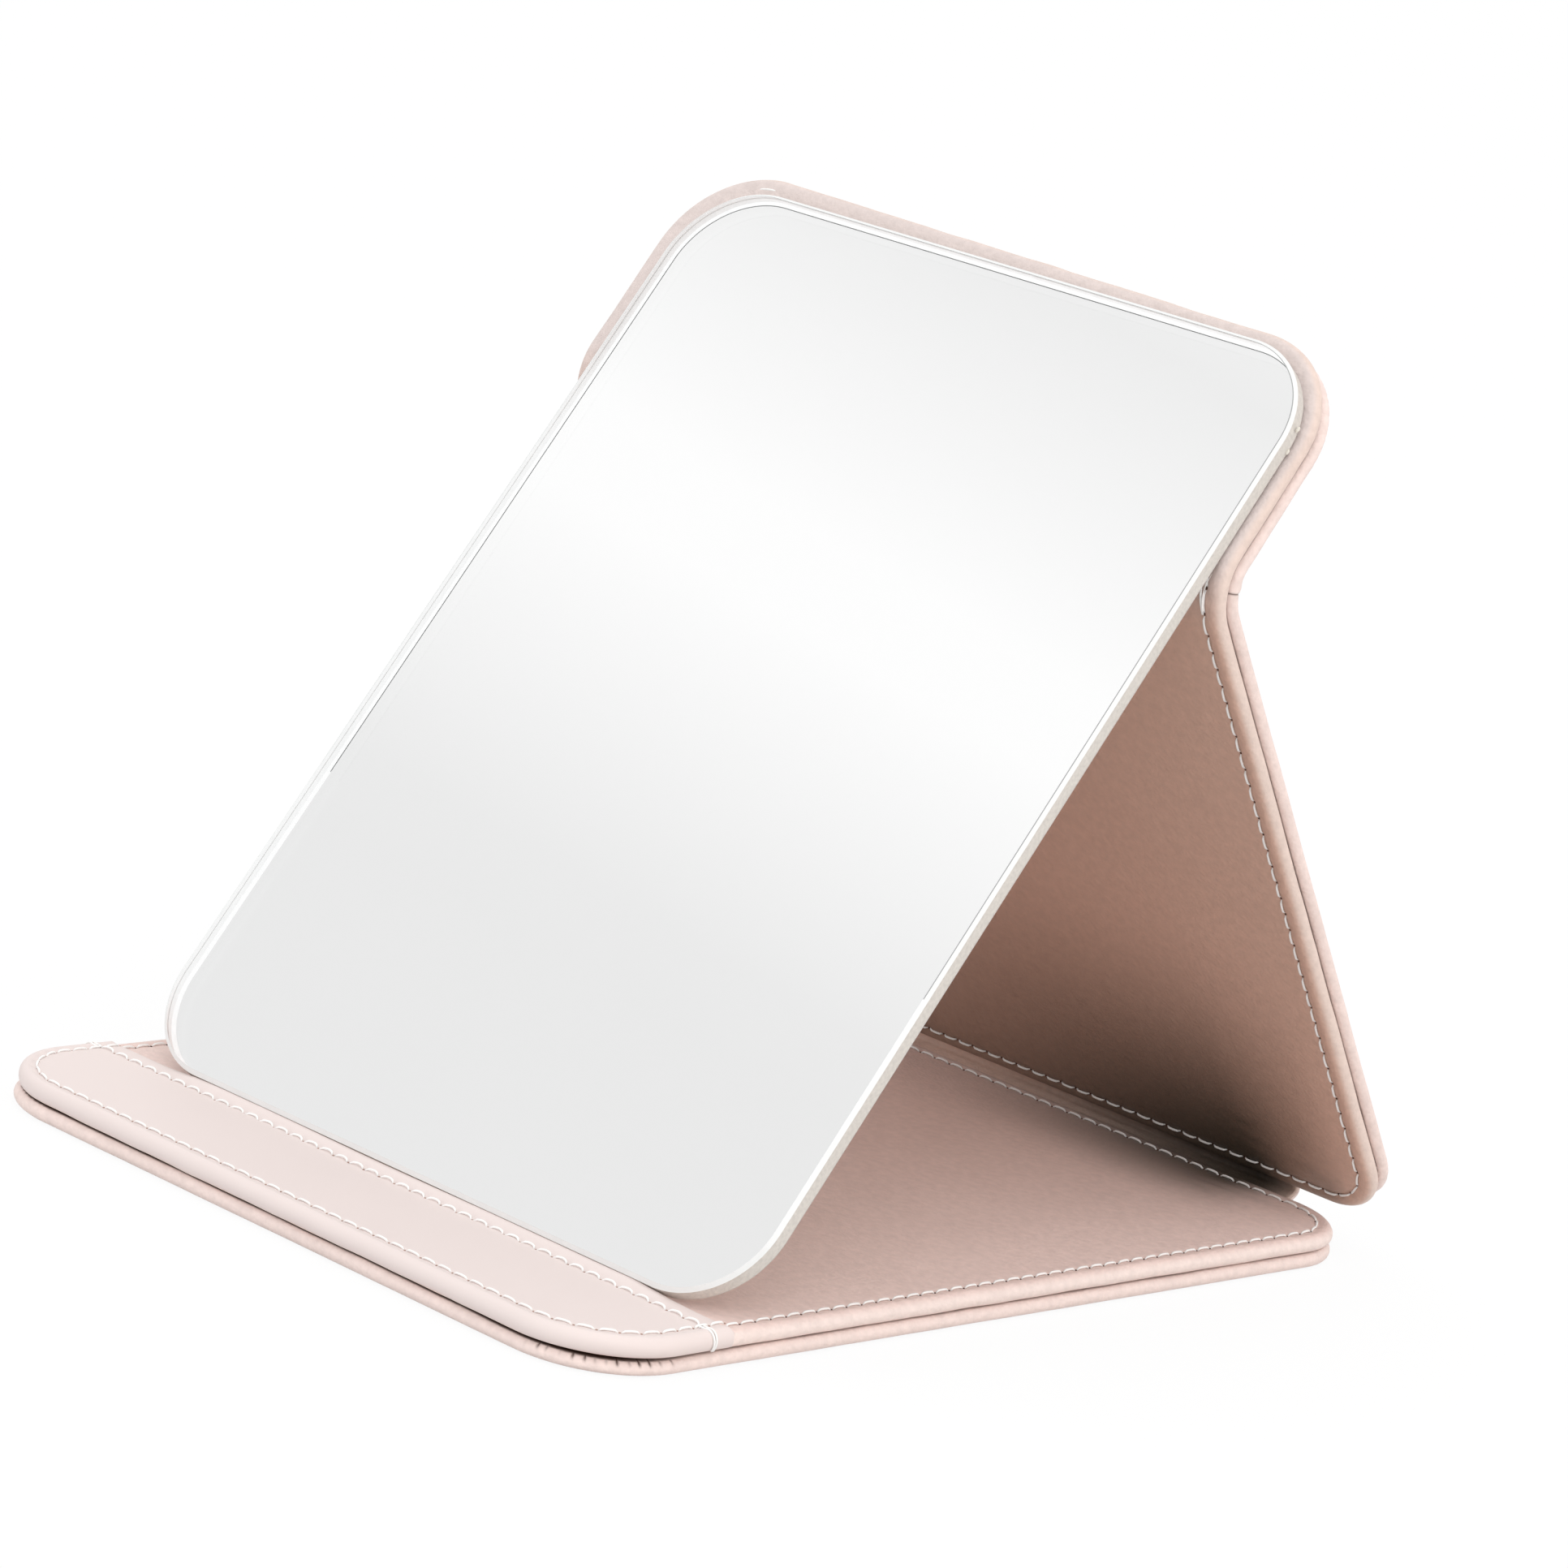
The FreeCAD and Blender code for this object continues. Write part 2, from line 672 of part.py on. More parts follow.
os.makedirs("parts", exist_ok=True)
for node in nodes:
    node.Shape.exportStep(f"parts/{node.Label}.step")
angles = f"rear lean {rear_lean.value:.2f}, mirror tilt {mirror_tilt.value:.2f} degrees"
print(f"{angles}, {len(nodes)} pieces")
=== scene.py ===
"""Folding table mirror in a stitched leather case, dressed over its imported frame.

Each panel of the case is drawn flat, as it is cut at the bench, and then laid or bent into its place in
the frame. Lengths are metres, +Z is up, and the front strip looks towards -Y. In a flat drawing X runs
across the panel, Y up the panel from its first edge, and Z from its outer face to its inner face.
"""
import math

import bmesh
import bpy
import numpy as np
from bpy.props import FloatProperty, FloatVectorProperty, IntProperty, PointerProperty
from bpy.types import Operator, Panel, PropertyGroup
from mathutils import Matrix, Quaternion, Vector, noise


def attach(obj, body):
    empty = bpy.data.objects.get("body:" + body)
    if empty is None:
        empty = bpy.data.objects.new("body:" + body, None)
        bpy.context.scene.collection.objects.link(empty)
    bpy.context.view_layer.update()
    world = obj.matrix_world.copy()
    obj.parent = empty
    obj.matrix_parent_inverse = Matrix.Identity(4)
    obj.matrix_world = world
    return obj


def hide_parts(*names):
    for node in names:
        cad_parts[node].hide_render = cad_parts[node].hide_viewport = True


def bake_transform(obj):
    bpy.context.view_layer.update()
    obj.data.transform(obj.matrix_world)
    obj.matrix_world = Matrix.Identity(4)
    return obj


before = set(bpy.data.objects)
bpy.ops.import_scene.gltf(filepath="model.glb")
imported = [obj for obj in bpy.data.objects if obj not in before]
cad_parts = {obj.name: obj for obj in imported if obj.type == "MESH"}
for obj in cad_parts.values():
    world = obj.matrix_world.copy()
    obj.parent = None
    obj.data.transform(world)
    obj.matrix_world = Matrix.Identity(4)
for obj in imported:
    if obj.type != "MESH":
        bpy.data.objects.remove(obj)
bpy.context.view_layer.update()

bl_info = {
    "name": "Folding Mirror Case",
    "version": (1, 0, 0),
    "blender": (4, 5, 0),
    "location": "View3D > Sidebar > Mirror Case",
    "description": "Dresses a folding table mirror in stitched leather and sets up its studio",
    "category": "Add Mesh",
}

ACROSS = np.array([1.0, 0.0, 0.0])
INNER_SIDE = 1
OUTER_SIDE = -1
SAME_POINT = 1e-7
PLATE_EDGE = math.radians(20.0)
WHITE = (1.0, 1.0, 1.0, 1.0)

# How far the upper panel's leather lies askew
UPPER_SKEW = 0.001

# How finely the pieces are drawn
EDGE_STEP = 0.0006
CORNER_STEP = 0.00022
CREASE_STEP = 0.0002
GLASS_STEP = 0.0012
GLASS_CORNER_STEP = 0.0006
ROLL_RINGS = 15
SHOWN_RINGS = 17
HIDDEN_RINGS = 4
FILL_RINGS = 8
PLATE_RINGS = 4
EDGE_ZONE = 0.0062
FAN_REACH = 0.034
SPINE_ROWS = 33
TUCK_ROWS = 7
SPINE_COLUMNS = 161
SPINE_ROUNDING = 7
STITCH_PARTS = 7
STITCH_SIDES = 6
HOLE_SEGMENTS = 8
HOLE_RINGS = 4
PATH_PARTS = 8
SEAM_PARTS = 4
LOOSE_PARTS = 9
TUBE_SIDES = 8
BEAD_SIDES = 10
LEAST_CORNER_PARTS = 6

# Added to the seed, so that no two pieces are uneven alike
INNER_SEED = 10
STRIP_SEED = 20
BACK_SEED = 30
SPINE_SEED = 50

# How far apart two seeds lie in the noise over a sheet and along a line
SHEET_SEED_STEP = 7.3
LINE_SEED_STEP = 3.7

# Leather grain: width of a pebble, and how much finer and weaker the grain on it is
GRAIN_CELL = 0.0007
FINE_GRAIN = 2.6
FINE_GRAIN_SHARE = 0.5

# Edge of a leather layer: its stray, groove, gathers and painted highlight, and its pull and waves further in
STRAY_FADE = 0.002
LONG_STRAY = 0.011
SHORT_STRAY = 0.0045
SHORT_STRAY_SHARE = 0.6
GROOVE_STRAY = 0.009
GROOVE_REACH = 0.0045
RETREAT_FADE = 0.004
RETREAT_REACH = 0.035
GATHER_INSET = 0.0008
GATHER_REACH = 0.0016
GATHER_WIDTH = 0.00032
GATHER_STRENGTH = (0.35, 1.0)
GATHER_APART = (0.0014, 0.0026)
CORNER_TURN = 0.02
EDGE_TINT_START = 0.0001
EDGE_TINT_REACH = 0.001
PULL_CHANGE = 0.28
SHEET_START = 0.02
SHEET_WAVES = 0.021

# Crack between the layers: where it ends on the roll, and how dark it is
CRACK_END = 0.05
STROKE_REACH = 0.32
STROKE_STRENGTH = 1.6
CORNER_GAP_REACH = 0.026
FRONT_END = 0.006
FRONT_FADE = 0.02
SIDE_CRACK = 0.4
BACK_CRACK = 0.85
STRIP_CRACK = 1.0

# Painted shadow in the fold at the spine: across the case, at its ends, and away from the spine
FOLD_DARK_START = -0.03
FOLD_DARK_REACH = 0.08
FOLD_PALE_START = 0.045
FOLD_PALE_REACH = 0.014
FOLD_PALE_SHARE = 0.95
FOLD_END_START = 0.063
FOLD_END_REACH = 0.007
BASE_FOLD_DEPTH = 0.03
BACK_FOLD_DEPTH = 0.066
BACK_FOLD_LEAST = 0.45

# Front strip: its lift off the base, its cuts in roundings of its edge, and its swelling against the glass
STRIP_LIFT = 0.0001
STRIP_CUTS = (0.0, 0.06, 0.2, 0.45, 0.75, 1.0, 1.5, *np.linspace(2.0, 8.0, 11).tolist())
SWELL_START = 0.0004
SWELL_END = 0.0006
SWELL_SIDE = 0.004
SWELL_SIDE_REACH = 0.012
GLASS_CLEARANCE = 0.00004

# Pinched line of the crease: the bulge beside it, and how dark it is
BULGE_PLACE = 0.0013
BULGE_REACH = 0.0012
BULGE_RISE = 0.00035
PINCH_CRACK = 0.9
PINCH_GAIN = 1.6
PINCH_START = 0.3

# Spine leather: the two faces of a band over the spine's line, and its wrinkles
BAND_NEAR = 0.00005
BAND_FAR = 0.00075
WRINKLE_RUN = 0.02
WRINKLE_STRETCH = 0.16
WRINKLE_LINES = 0.0022
WRINKLE_WAVES = 0.006
WRINKLE_WAVE_SHARE = 0.5

# Stitches: shares of the thread's width and of the furrow's depth, the curve of their arch, and their wander
THREAD_SINK = 0.5
THREAD_RISE = 0.35
THREAD_TAPER = 0.35
THREAD_WANDER = 0.05
ARCH_POWER = 0.3
HOLE_WIDTH = 1.1
HOLE_DEPTH = 0.5
FURROW_SHARE = 0.75

# Threads wrapped over the roll at both ends of the strip's seam
WRAP_WIDTH = 0.42
WRAP_APART = 0.00045
WRAP_CLOSE = 0.4
WRAP_RISE = 0.4
WRAP_TURN = (90.0, -40.0)
WRAP_PARTS = 16
WRAP_START_PARTS = 5

# Frayed thread beside the crease, and the single stitch at the top left
FRAY_STRANDS = 9
FRAY_START = 0.0028
FRAY_SPREAD = (-0.0011, 0.0006)
FRAY_REACH = (0.0035, 0.0062)
FRAY_CURL = 1.5
FRAY_APART = 0.00015
FRAY_LIFT = 0.0002
FRAY_ARCH = (0.0002, 0.0006)
FRAY_RADIUS = 0.00013
FRAY_TAPER = 0.75
SINGLE_TURN = (107.0, 93.0)
SINGLE_INSET = 0.0028
SINGLE_SINK = 0.0001
SINGLE_ARCH = 0.0002

# Glass: its frosted edge, its bevel and back edge, where the bevel's line starts, and the beads of glue
FROSTED = (0.90, 0.91, 0.91, 1.0)
BEVEL_SLOPE = 0.75
BACK_BEVEL = 0.0002
LINE_START = 0.06
BEADS = ((0.0230, 0.0011), (0.0190, 0.0003))
BEAD_OUT = 0.0001
BEAD_REACH = 0.0006
BEAD_RADIUS = 0.0003
BEAD_END = 0.98

# Studio: the floor, the panel that the mirror sees, the lamps' widths, places and tints, and the camera
FLOOR_REACH = 12.0
FLOOR_LEVEL = -0.0002
FLOOR_PAINT = (0.7, 0.7, 0.7, 1.0)
FLOOR_GLOW = 1.03
PANEL_AXIS = (0.2083, 0.7828, 0.5863)
PANEL_SPAN = (-0.17, 0.04)
PANEL_GREYS = ((0.0, 0.83), (0.06, 0.84), (0.31, 1.0), (0.38, 1.0), (0.63, 0.86), (1.0, 1.0))
LAMPS = (
    ("key", 1.6, (1.2, -1.2, 1.6), (1.0, 1.0, 1.0)),
    ("fill", 0.8, (1.9, 0.15, 0.4), (1.0, 0.91, 0.85)),
    ("low_fill", 1.0, (-0.6, -1.9, 0.3), (1.0, 1.0, 1.0)),
)
LAMP_AIM = (0.0, 0.0, 0.06)
SENSOR_WIDTH = 36.0
VIEW_END = 60.0


def length(name, default, description):
    """A length that a user may change."""
    return FloatProperty(
        name=name, description=description, default=default, min=0.0, unit="LENGTH", precision=5)


def colour(name, default, description):
    """A colour that a user may change."""
    return FloatVectorProperty(
        name=name, description=description, default=default, min=0.0, max=1.0, subtype="COLOR", size=3)


def angle(name, degrees, description):
    """An angle that a user may change."""
    return FloatProperty(name=name, description=description, default=math.radians(degrees), subtype="ANGLE")


def power(name, default, description):
    """A strength of light that a user may change."""
    return FloatProperty(name=name, description=description, default=default, min=0.0)


class MirrorCaseSizes(PropertyGroup):
    """Sizes of the leather work and of the glass edge."""
    front_corner: length("Front corner", 0.0185, "Corner radius of the base beside the front strip")
    spine_corner: length("Spine corner", 0.0155, "Corner radius of the base beside the spine")
    rear_corner: length("Rear corner", 0.012, "Corner radius of the rear panel beside the spine")
    top_corner: length("Top corner", 0.019, "Corner radius of the upper panel")
    glass_corner: length("Glass corner", 0.0165, "Corner radius of the mirror glass")
    edge_roll: length("Edge roll", 0.0016, "How far the rolled edge of a leather layer reaches inwards")
    edge_puff: length("Edge puff", 0.00014, "Swelling of the leather between its edge and its stitches")
    edge_wander: length("Edge wander", 0.00012, "How far a hand-turned edge strays from its line")
    groove_gap: length("Groove gap", 0.00014, "Gap between the two leather layers at their edge")
    corner_gap: length("Corner gap", 0.0005, "Wider gap between the layers at the front right corner")
    pleat_depth: length("Pleat depth", 0.00034, "Depth of the gathers in the outer leather round a corner")
    retreat: length("Retreat", 0.0007, "How far the inner leather stays back at the front left corner")
    sheet_wave: length("Sheet wave", 0.00016, "Unevenness of the leather over its board")
    stitch_inset: length("Stitch inset", 0.0032, "Distance from a panel's edge to its stitches")
    upper_drift: length("Upper drift", 0.0022, "How much further in the upper panel's inner stitches run")
    stitch_pitch: length("Stitch pitch", 0.00365, "Distance from one needle hole to the next")
    stitch_length: length("Stitch length", 0.00305, "Length of thread that shows between two needle holes")
    thread_width: length("Thread width", 0.00043, "Width of the sewing thread")
    furrow_depth: length("Furrow depth", 0.0003, "How far the thread pulls the leather down")
    furrow_width: length("Furrow width", 0.0006, "Reach of the furrow on each side of the thread")
    strip_overhang: length("Strip overhang", 0.00035, "How far the front strip wraps past the panel's edge")
    strip_round: length("Strip round", 0.0005, "Rounding of the cut edge of the front strip")
    strip_lip: length("Strip lip", 0.0008, "How far the front strip swells up against the foot of the glass")
    strip_seam: length("Strip seam", 0.0048, "Distance from the cut edge of the front strip to its seam")
    seam_bow: length("Seam bow", 0.0006, "How far the seam's stitches bow towards the glass")
    spine_set_in: length("Spine set-in", 0.0067, "From the start of the base's corner to the spine's end")
    spine_tuck: length("Spine tuck", 0.003, "How deep the spine leather is tucked between the layers")
    spine_handle: length("Spine handle", 0.0052, "Slackness of the spine leather's bend")
    spine_wrinkle: length("Spine wrinkle", 0.00022, "Height of the wrinkles along the spine leather")
    pinch_depth: length("Pinch depth", 0.0005, "Depth of the line where the crease pinches the outer leather")
    pinch_width: length("Pinch width", 0.00022, "Reach of that line on each side")
    glass_bevel: length("Glass bevel", 0.00075, "Width of the bevel round the mirror's face")
    bevel_line: length("Bevel line", 0.00015, "Width of the dark line where the bevel meets the face")
    silver_inset: length("Silver inset", 0.00003, "Distance from the glass edge to the silvering")
    silver_coat: length("Silver coat", 0.00003, "Thickness of the silvering on the back of the glass")


class MirrorCaseColours(PropertyGroup):
    """Colours of the leather, thread and glass edge."""
    pale_leather: colour("Pale leather", (0.87, 0.722, 0.675), "Outer leather and front strip")
    lining_leather: colour("Lining leather", (0.86, 0.68, 0.63), "Leather of the inner faces")
    # Painted shade: the upper panel's lining is a darker copy of the lining leather, to tone down the light
    # that falls on it
    upper_lining: colour("Upper lining", (0.735, 0.635, 0.605), "Lining of the upper panel round the glass")
    # Painted shade: the rear lining is a darker, browner copy of the lining that stands in for the shade
    # inside the case, not a browning by handling
    rear_lining: colour("Rear lining", (0.67, 0.445, 0.355), "Lining of the rear panel, browned by handling")
    # Painted shadow: the lining deep in the fold at the spine
    fold_painted_shadow: colour("Fold lining", (0.07, 0.055, 0.04), "Lining deep in the fold at the spine")
    # Painted highlight: the back's lining is painted paler on its rolled edge, where light falls on the roll
    back_roll_painted_highlight: colour("Back roll", (0.78, 0.63, 0.56), "Lining of the back stretched over its edge")
    # Painted light: the spine leather is a lighter copy of the lining, lifted against the shade between the
    # panels
    spine_leather: colour("Spine leather", (0.95, 0.72, 0.62), "Leather of the spine, on its inner side")
    # Painted highlight: the inner leather is painted paler on its rolled edge, where light falls on the roll
    roll_painted_highlight: colour("Rolled leather", (0.88, 0.74, 0.69), "Inner leather stretched over an edge")
    crack: colour("Crack", (0.065, 0.028, 0.018), "Shadowed leather between the layers and in its folds")
    cut_leather: colour("Cut leather", (0.80, 0.56, 0.43), "Raw edge of the front strip")
    thread: colour("Thread", (0.97, 0.965, 0.95), "Sewing thread")
    needle_hole: colour("Needle hole", (0.10, 0.05, 0.035), "Shadowed leather in a needle hole")
    # Painted shade: the needle holes of the front strip, a lighter copy of the holes' shade where more light
    # falls
    pale_hole: colour("Pale hole", (0.42, 0.28, 0.23), "Needle hole in the front strip")
    ground_edge: colour("Ground edge", (0.65, 0.615, 0.57), "Ground wall of the glass")
    # Painted reflection: the bevel's pale colour stands in for the white studio that the polished bevel
    # reflects
    bevel: colour("Bevel", (0.82, 0.83, 0.825), "Polished bevel of the glass")
    # Painted shade: the dark line where the bevel meets the face
    bevel_line: colour("Bevel line", (0.36, 0.37, 0.37), "Line where the bevel meets the face")
    silver: colour("Silver", (0.99, 0.99, 0.99), "Silvering behind the glass")
    glass: colour("Glass", (0.997, 1.0, 0.998), "Faint tint of the clear glass")
    card: colour("Card", (0.42, 0.36, 0.29), "Card boards inside the panels")
    film: colour("Film", (0.22, 0.19, 0.17), "Protective film on the back of the glass")
    glue: colour("Glue", (0.74, 0.70, 0.62), "Adhesive sheet and beads of glue")


class MirrorCaseStage(PropertyGroup):
    """Camera and light of the studio."""
    camera_place: FloatVectorProperty(
        name="Camera place", description="Where the camera stands", default=(0.6687, -0.77799, 0.29848),
        subtype="TRANSLATION", unit="LENGTH", size=3)
    camera_azimuth: angle("Camera azimuth", 40.4055, "Turn of the camera round the object from its front")
    camera_elevation: angle("Camera elevation", 12.4704, "Angle at which the camera looks down")
    camera_roll: angle("Camera roll", 10.5202, "Tilt of the camera about its own line of sight")
    lens: FloatProperty(
        name="Lens", description="Focal length in millimetres on a 36 mm sensor", default=141.76, min=1.0)
    zenith: power("Zenith", 1.37, "Strength of the soft light from straight above")
    horizon: power("Horizon", 0.4, "Strength of the soft light from all round")
    key: power("Key light", 6.0, "Power of the large soft lamp at the front right")
    fill: power("Fill light", 7.8, "Power of the warm soft lamp at the right")
    low_fill: power("Low fill", 6.0, "Power of the soft lamp low in front")
    floor_white: FloatProperty(
        name="Floor white", description="Share of plain white in the floor as the camera sees it",
        default=0.9, min=0.0, max=1.0, subtype="FACTOR")
    seed: IntProperty(name="Seed", description="Start of everything uneven", default=7, min=0)


def smooth_step(value):
    """Soft ramp from 0 to 1 over the same span of value."""
    share = np.clip(value, 0.0, 1.0)
    return share * share * (3.0 - 2.0 * share)


def bump(value):
    """Bell of height 1 round 0."""
    return np.exp(-np.square(value))


def ripple(points, scale, seed):
    """Soft unevenness between about -1 and 1 at flat points, with waves of about the given scale."""
    flat = points.reshape(-1, 2) / scale
    heights = [noise.noise(Vector((x, y, seed * SHEET_SEED_STEP))) for x, y in flat]
    return np.array(heights).reshape(points.shape[:-1])


def stray(places, scale, seed):
    """Soft unevenness along a line."""
    row = seed * LINE_SEED_STEP
    return np.array([noise.noise(Vector((place / scale, row, 0.5))) for place in places])


def node_points(name):
    """Corner points of one node of the frame."""
    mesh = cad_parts[name].data
    points = np.empty(len(mesh.vertices) * 3, dtype=np.float32)
    mesh.vertices.foreach_get("co", points)
    return points.reshape(-1, 3).astype(float)


class FlatPlace:
    """Where a flat panel of the case lies in the frame."""

    def __init__(self, name):
        outer = node_points(f"{name}_outer_skin")
        inner = node_points(f"{name}_inner_skin")
        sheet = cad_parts[f"{name}_core_sheet"].data
        normal = np.array(max(sheet.polygons, key=lambda polygon: polygon.area).normal)
        facing = (inner.mean(axis=0) - outer.mean(axis=0)) @ normal
        self.up = normal * math.copysign(1.0, facing)
        self.along = np.cross(self.up, ACROSS)
        both = np.vstack([outer, inner])
        runs = both @ self.along
        rises = both @ self.up
        self.half_width = float(both[:, 0].max())
        self.length = float(np.ptp(runs))
        self.thickness = float(np.ptp(rises))
        self.origin = self.along * runs.min() + self.up * rises.min()

    def place(self, flat):
        """Flat points carried into the frame."""
        flat = np.asarray(flat, dtype=float)
        turn = np.stack([ACROSS, self.along, self.up])
        return self.origin + flat @ turn

    def span(self, node):
        """Lowest and highest flat point of a node of the frame."""
        turn = np.stack([ACROSS, self.along, self.up])
        flat = (node_points(node) - self.origin) @ turn.T
        return flat.min(axis=0), flat.max(axis=0)


class BentPlace:
    """Where the back's leather lies: up the rear panel, round the crease and up the upper panel."""

    def __init__(self, rear, upper):
        self.rear = rear
        self.middle = rear.thickness / 2
        self.half_width = rear.half_width
        self.thickness = rear.thickness
        self.start = rear.place((0.0, rear.length, self.middle))
        self.end = upper.place((0.0, 0.0, self.middle))
        self.turn = math.acos(float(rear.along @ upper.along))
        chord = np.linalg.norm(self.end - self.start)
        self.radius = chord / (2 * math.sin(self.turn / 2))
        self.centre = self.start - rear.up * self.radius
        self.crease = self.radius * self.turn
        self.crease_middle = rear.length + self.crease / 2
        self.length = rear.length + self.crease + upper.length

    def place(self, flat):
        """Flat points bent into the frame."""
        flat = np.asarray(flat, dtype=float)
        past = flat[:, 1] - self.rear.length
        past = past - UPPER_SKEW * flat[:, 0] / self.half_width * smooth_step(past / self.crease / 2)
        angle = np.clip(past / self.radius, 0.0, self.turn)
        sine = np.sin(angle)[:, None]
        cosine = np.cos(angle)[:, None]
        up = cosine * self.rear.up + sine * self.rear.along
        along = cosine * self.rear.along - sine * self.rear.up
        reach = self.radius + flat[:, 2] - self.middle
        straight = past - angle * self.radius
        return self.centre + up * reach[:, None] + along * straight[:, None] + np.outer(flat[:, 0], ACROSS)


BASE = FlatPlace("base")
REAR = FlatPlace("rear")
UPPER = FlatPlace("upper")
BACK = BentPlace(REAR, UPPER)
LAYER = BASE.thickness / 2
STRIP_SPAN = BASE.span("front_strip")
STRIP_DEPTH = float(STRIP_SPAN[1][1])
STRIP_RISE = float(STRIP_SPAN[1][2]) - BASE.thickness


class Outline:
    """A rounded rectangle walked once round, with the outward direction at each point."""

    def __init__(self, half_width, first, last, first_corner, last_corner, step, corner_step, close=None):
        self.first = first
        self.last = last
        self.middle = 0.0
        self.points = np.empty((0, 2))
        self.outward = np.empty((0, 2))
        sides = self.stations(first + first_corner, last - last_corner, step)
        if close:
            sides = self.stations_with_close(sides, *close)
        low = half_width - first_corner
        high = half_width - last_corner
        bottom = self.stations(-low, low, step)
        top = self.stations(-high, high, step)
        self.add_edge([(x, first) for x in bottom], (0.0, -1.0))
        self.add_corner((low, first + first_corner), first_corner, -90, corner_step)
        self.add_edge([(half_width, y) for y in sides], (1.0, 0.0))
        self.add_corner((high, last - last_corner), last_corner, 0, corner_step)
        self.add_edge([(x, last) for x in top[::-1]], (0.0, 1.0))
        self.add_corner((-high, last - last_corner), last_corner, 90, corner_step)
        self.add_edge([(-half_width, y) for y in sides[::-1]], (-1.0, 0.0))
        self.add_corner((-low, first + first_corner), first_corner, 180, corner_step)

    @staticmethod
    def stations(start, end, step):
        """Even places between two ends, which are left to the corners."""
        count = max(2, round((end - start) / step))
        return np.linspace(start, end, count + 1)[1:-1]

    @staticmethod
    def stations_with_close(places, middle, reach, step):
        """The same places, closer together round the middle."""
        apart = places[np.abs(places - middle) > reach]
        close = np.arange(middle - reach, middle + reach + step / 2, step)
        return np.sort(np.concatenate([apart, close]))

    def add_edge(self, points, outward):
        self.points = np.vstack([self.points, points])
        self.outward = np.vstack([self.outward, np.tile(outward, (len(points), 1))])

    def add_corner(self, centre, radius, first_angle, step):
        count = max(LEAST_CORNER_PARTS, round(radius * math.pi / 2 / step))
        angles = np.radians(np.linspace(first_angle, first_angle + 90, count + 1))
        outward = np.column_stack([np.cos(angles), np.sin(angles)])
        self.points = np.vstack([self.points, np.array(centre) + radius * outward])
        self.outward = np.vstack([self.outward, outward])

    def shift(self, across):
        """Move the outline sideways."""
        self.middle += across
        self.points = self.points + np.array([across, 0.0])

    def inset(self, distance):
        """The outline moved inwards, by one distance or by one for each point."""
        return self.points - self.outward * np.reshape(distance, (-1, 1))

    def arc(self, distance):
        """Place of each point along the outline moved inwards, and its full length."""
        path = self.inset(distance)
        closed = np.vstack([path, path[:1]])
        steps = np.linalg.norm(np.diff(closed, axis=0), axis=1)
        return np.concatenate([[0.0], np.cumsum(steps)[:-1]]), float(steps.sum())

    def spine_points(self, reach):
        """For each point, its place on the middle line that the faces close on."""
        rise = np.clip(self.points[:, 1], self.first + reach, self.last - reach)
        return np.column_stack([np.full(len(rise), self.middle), rise])


class StitchLine:
    """A closed line of even stitches inside an outline."""

    def __init__(self, outline, inset, pitch):
        self.path = outline.inset(inset)
        self.arc, self.length = outline.arc(inset)
        self.count = round(self.length / pitch)
        self.pitch = self.length / self.count

    def hole_near(self, point):
        """Number of the needle hole nearest to a point of the line."""
        nearest = np.argmin(np.linalg.norm(self.path - np.array(point), axis=1))
        return round(self.arc[nearest] / self.pitch)

    def run(self, first, last):
        """Flat path from one needle hole to another."""
        places = np.linspace(first, last, (last - first) * PATH_PARTS + 1) * self.pitch
        x = np.interp(places, self.arc, self.path[:, 0], period=self.length)
        y = np.interp(places, self.arc, self.path[:, 1], period=self.length)
        return np.column_stack([x, y, np.zeros(len(x))])


class LayerLook:
    """What is special about one leather layer: its side, its swelling, and what happens along its edge."""

    def __init__(self, side, thickness, seed, inset, lift=0.0, puff=0.0, wave=0.0, gap=0.0, pleats=0.0,
                 retreat=0.0, crack=0.5, strokes=0.0):
        self.side = side
        self.thickness = thickness
        self.seed = seed
        self.lift = lift
        self.puff = puff
        self.wave = wave
        self.inset = inset
        self.gap = gap
        self.pleats = pleats
        self.retreat = retreat
        self.crack = crack
        self.strokes = strokes


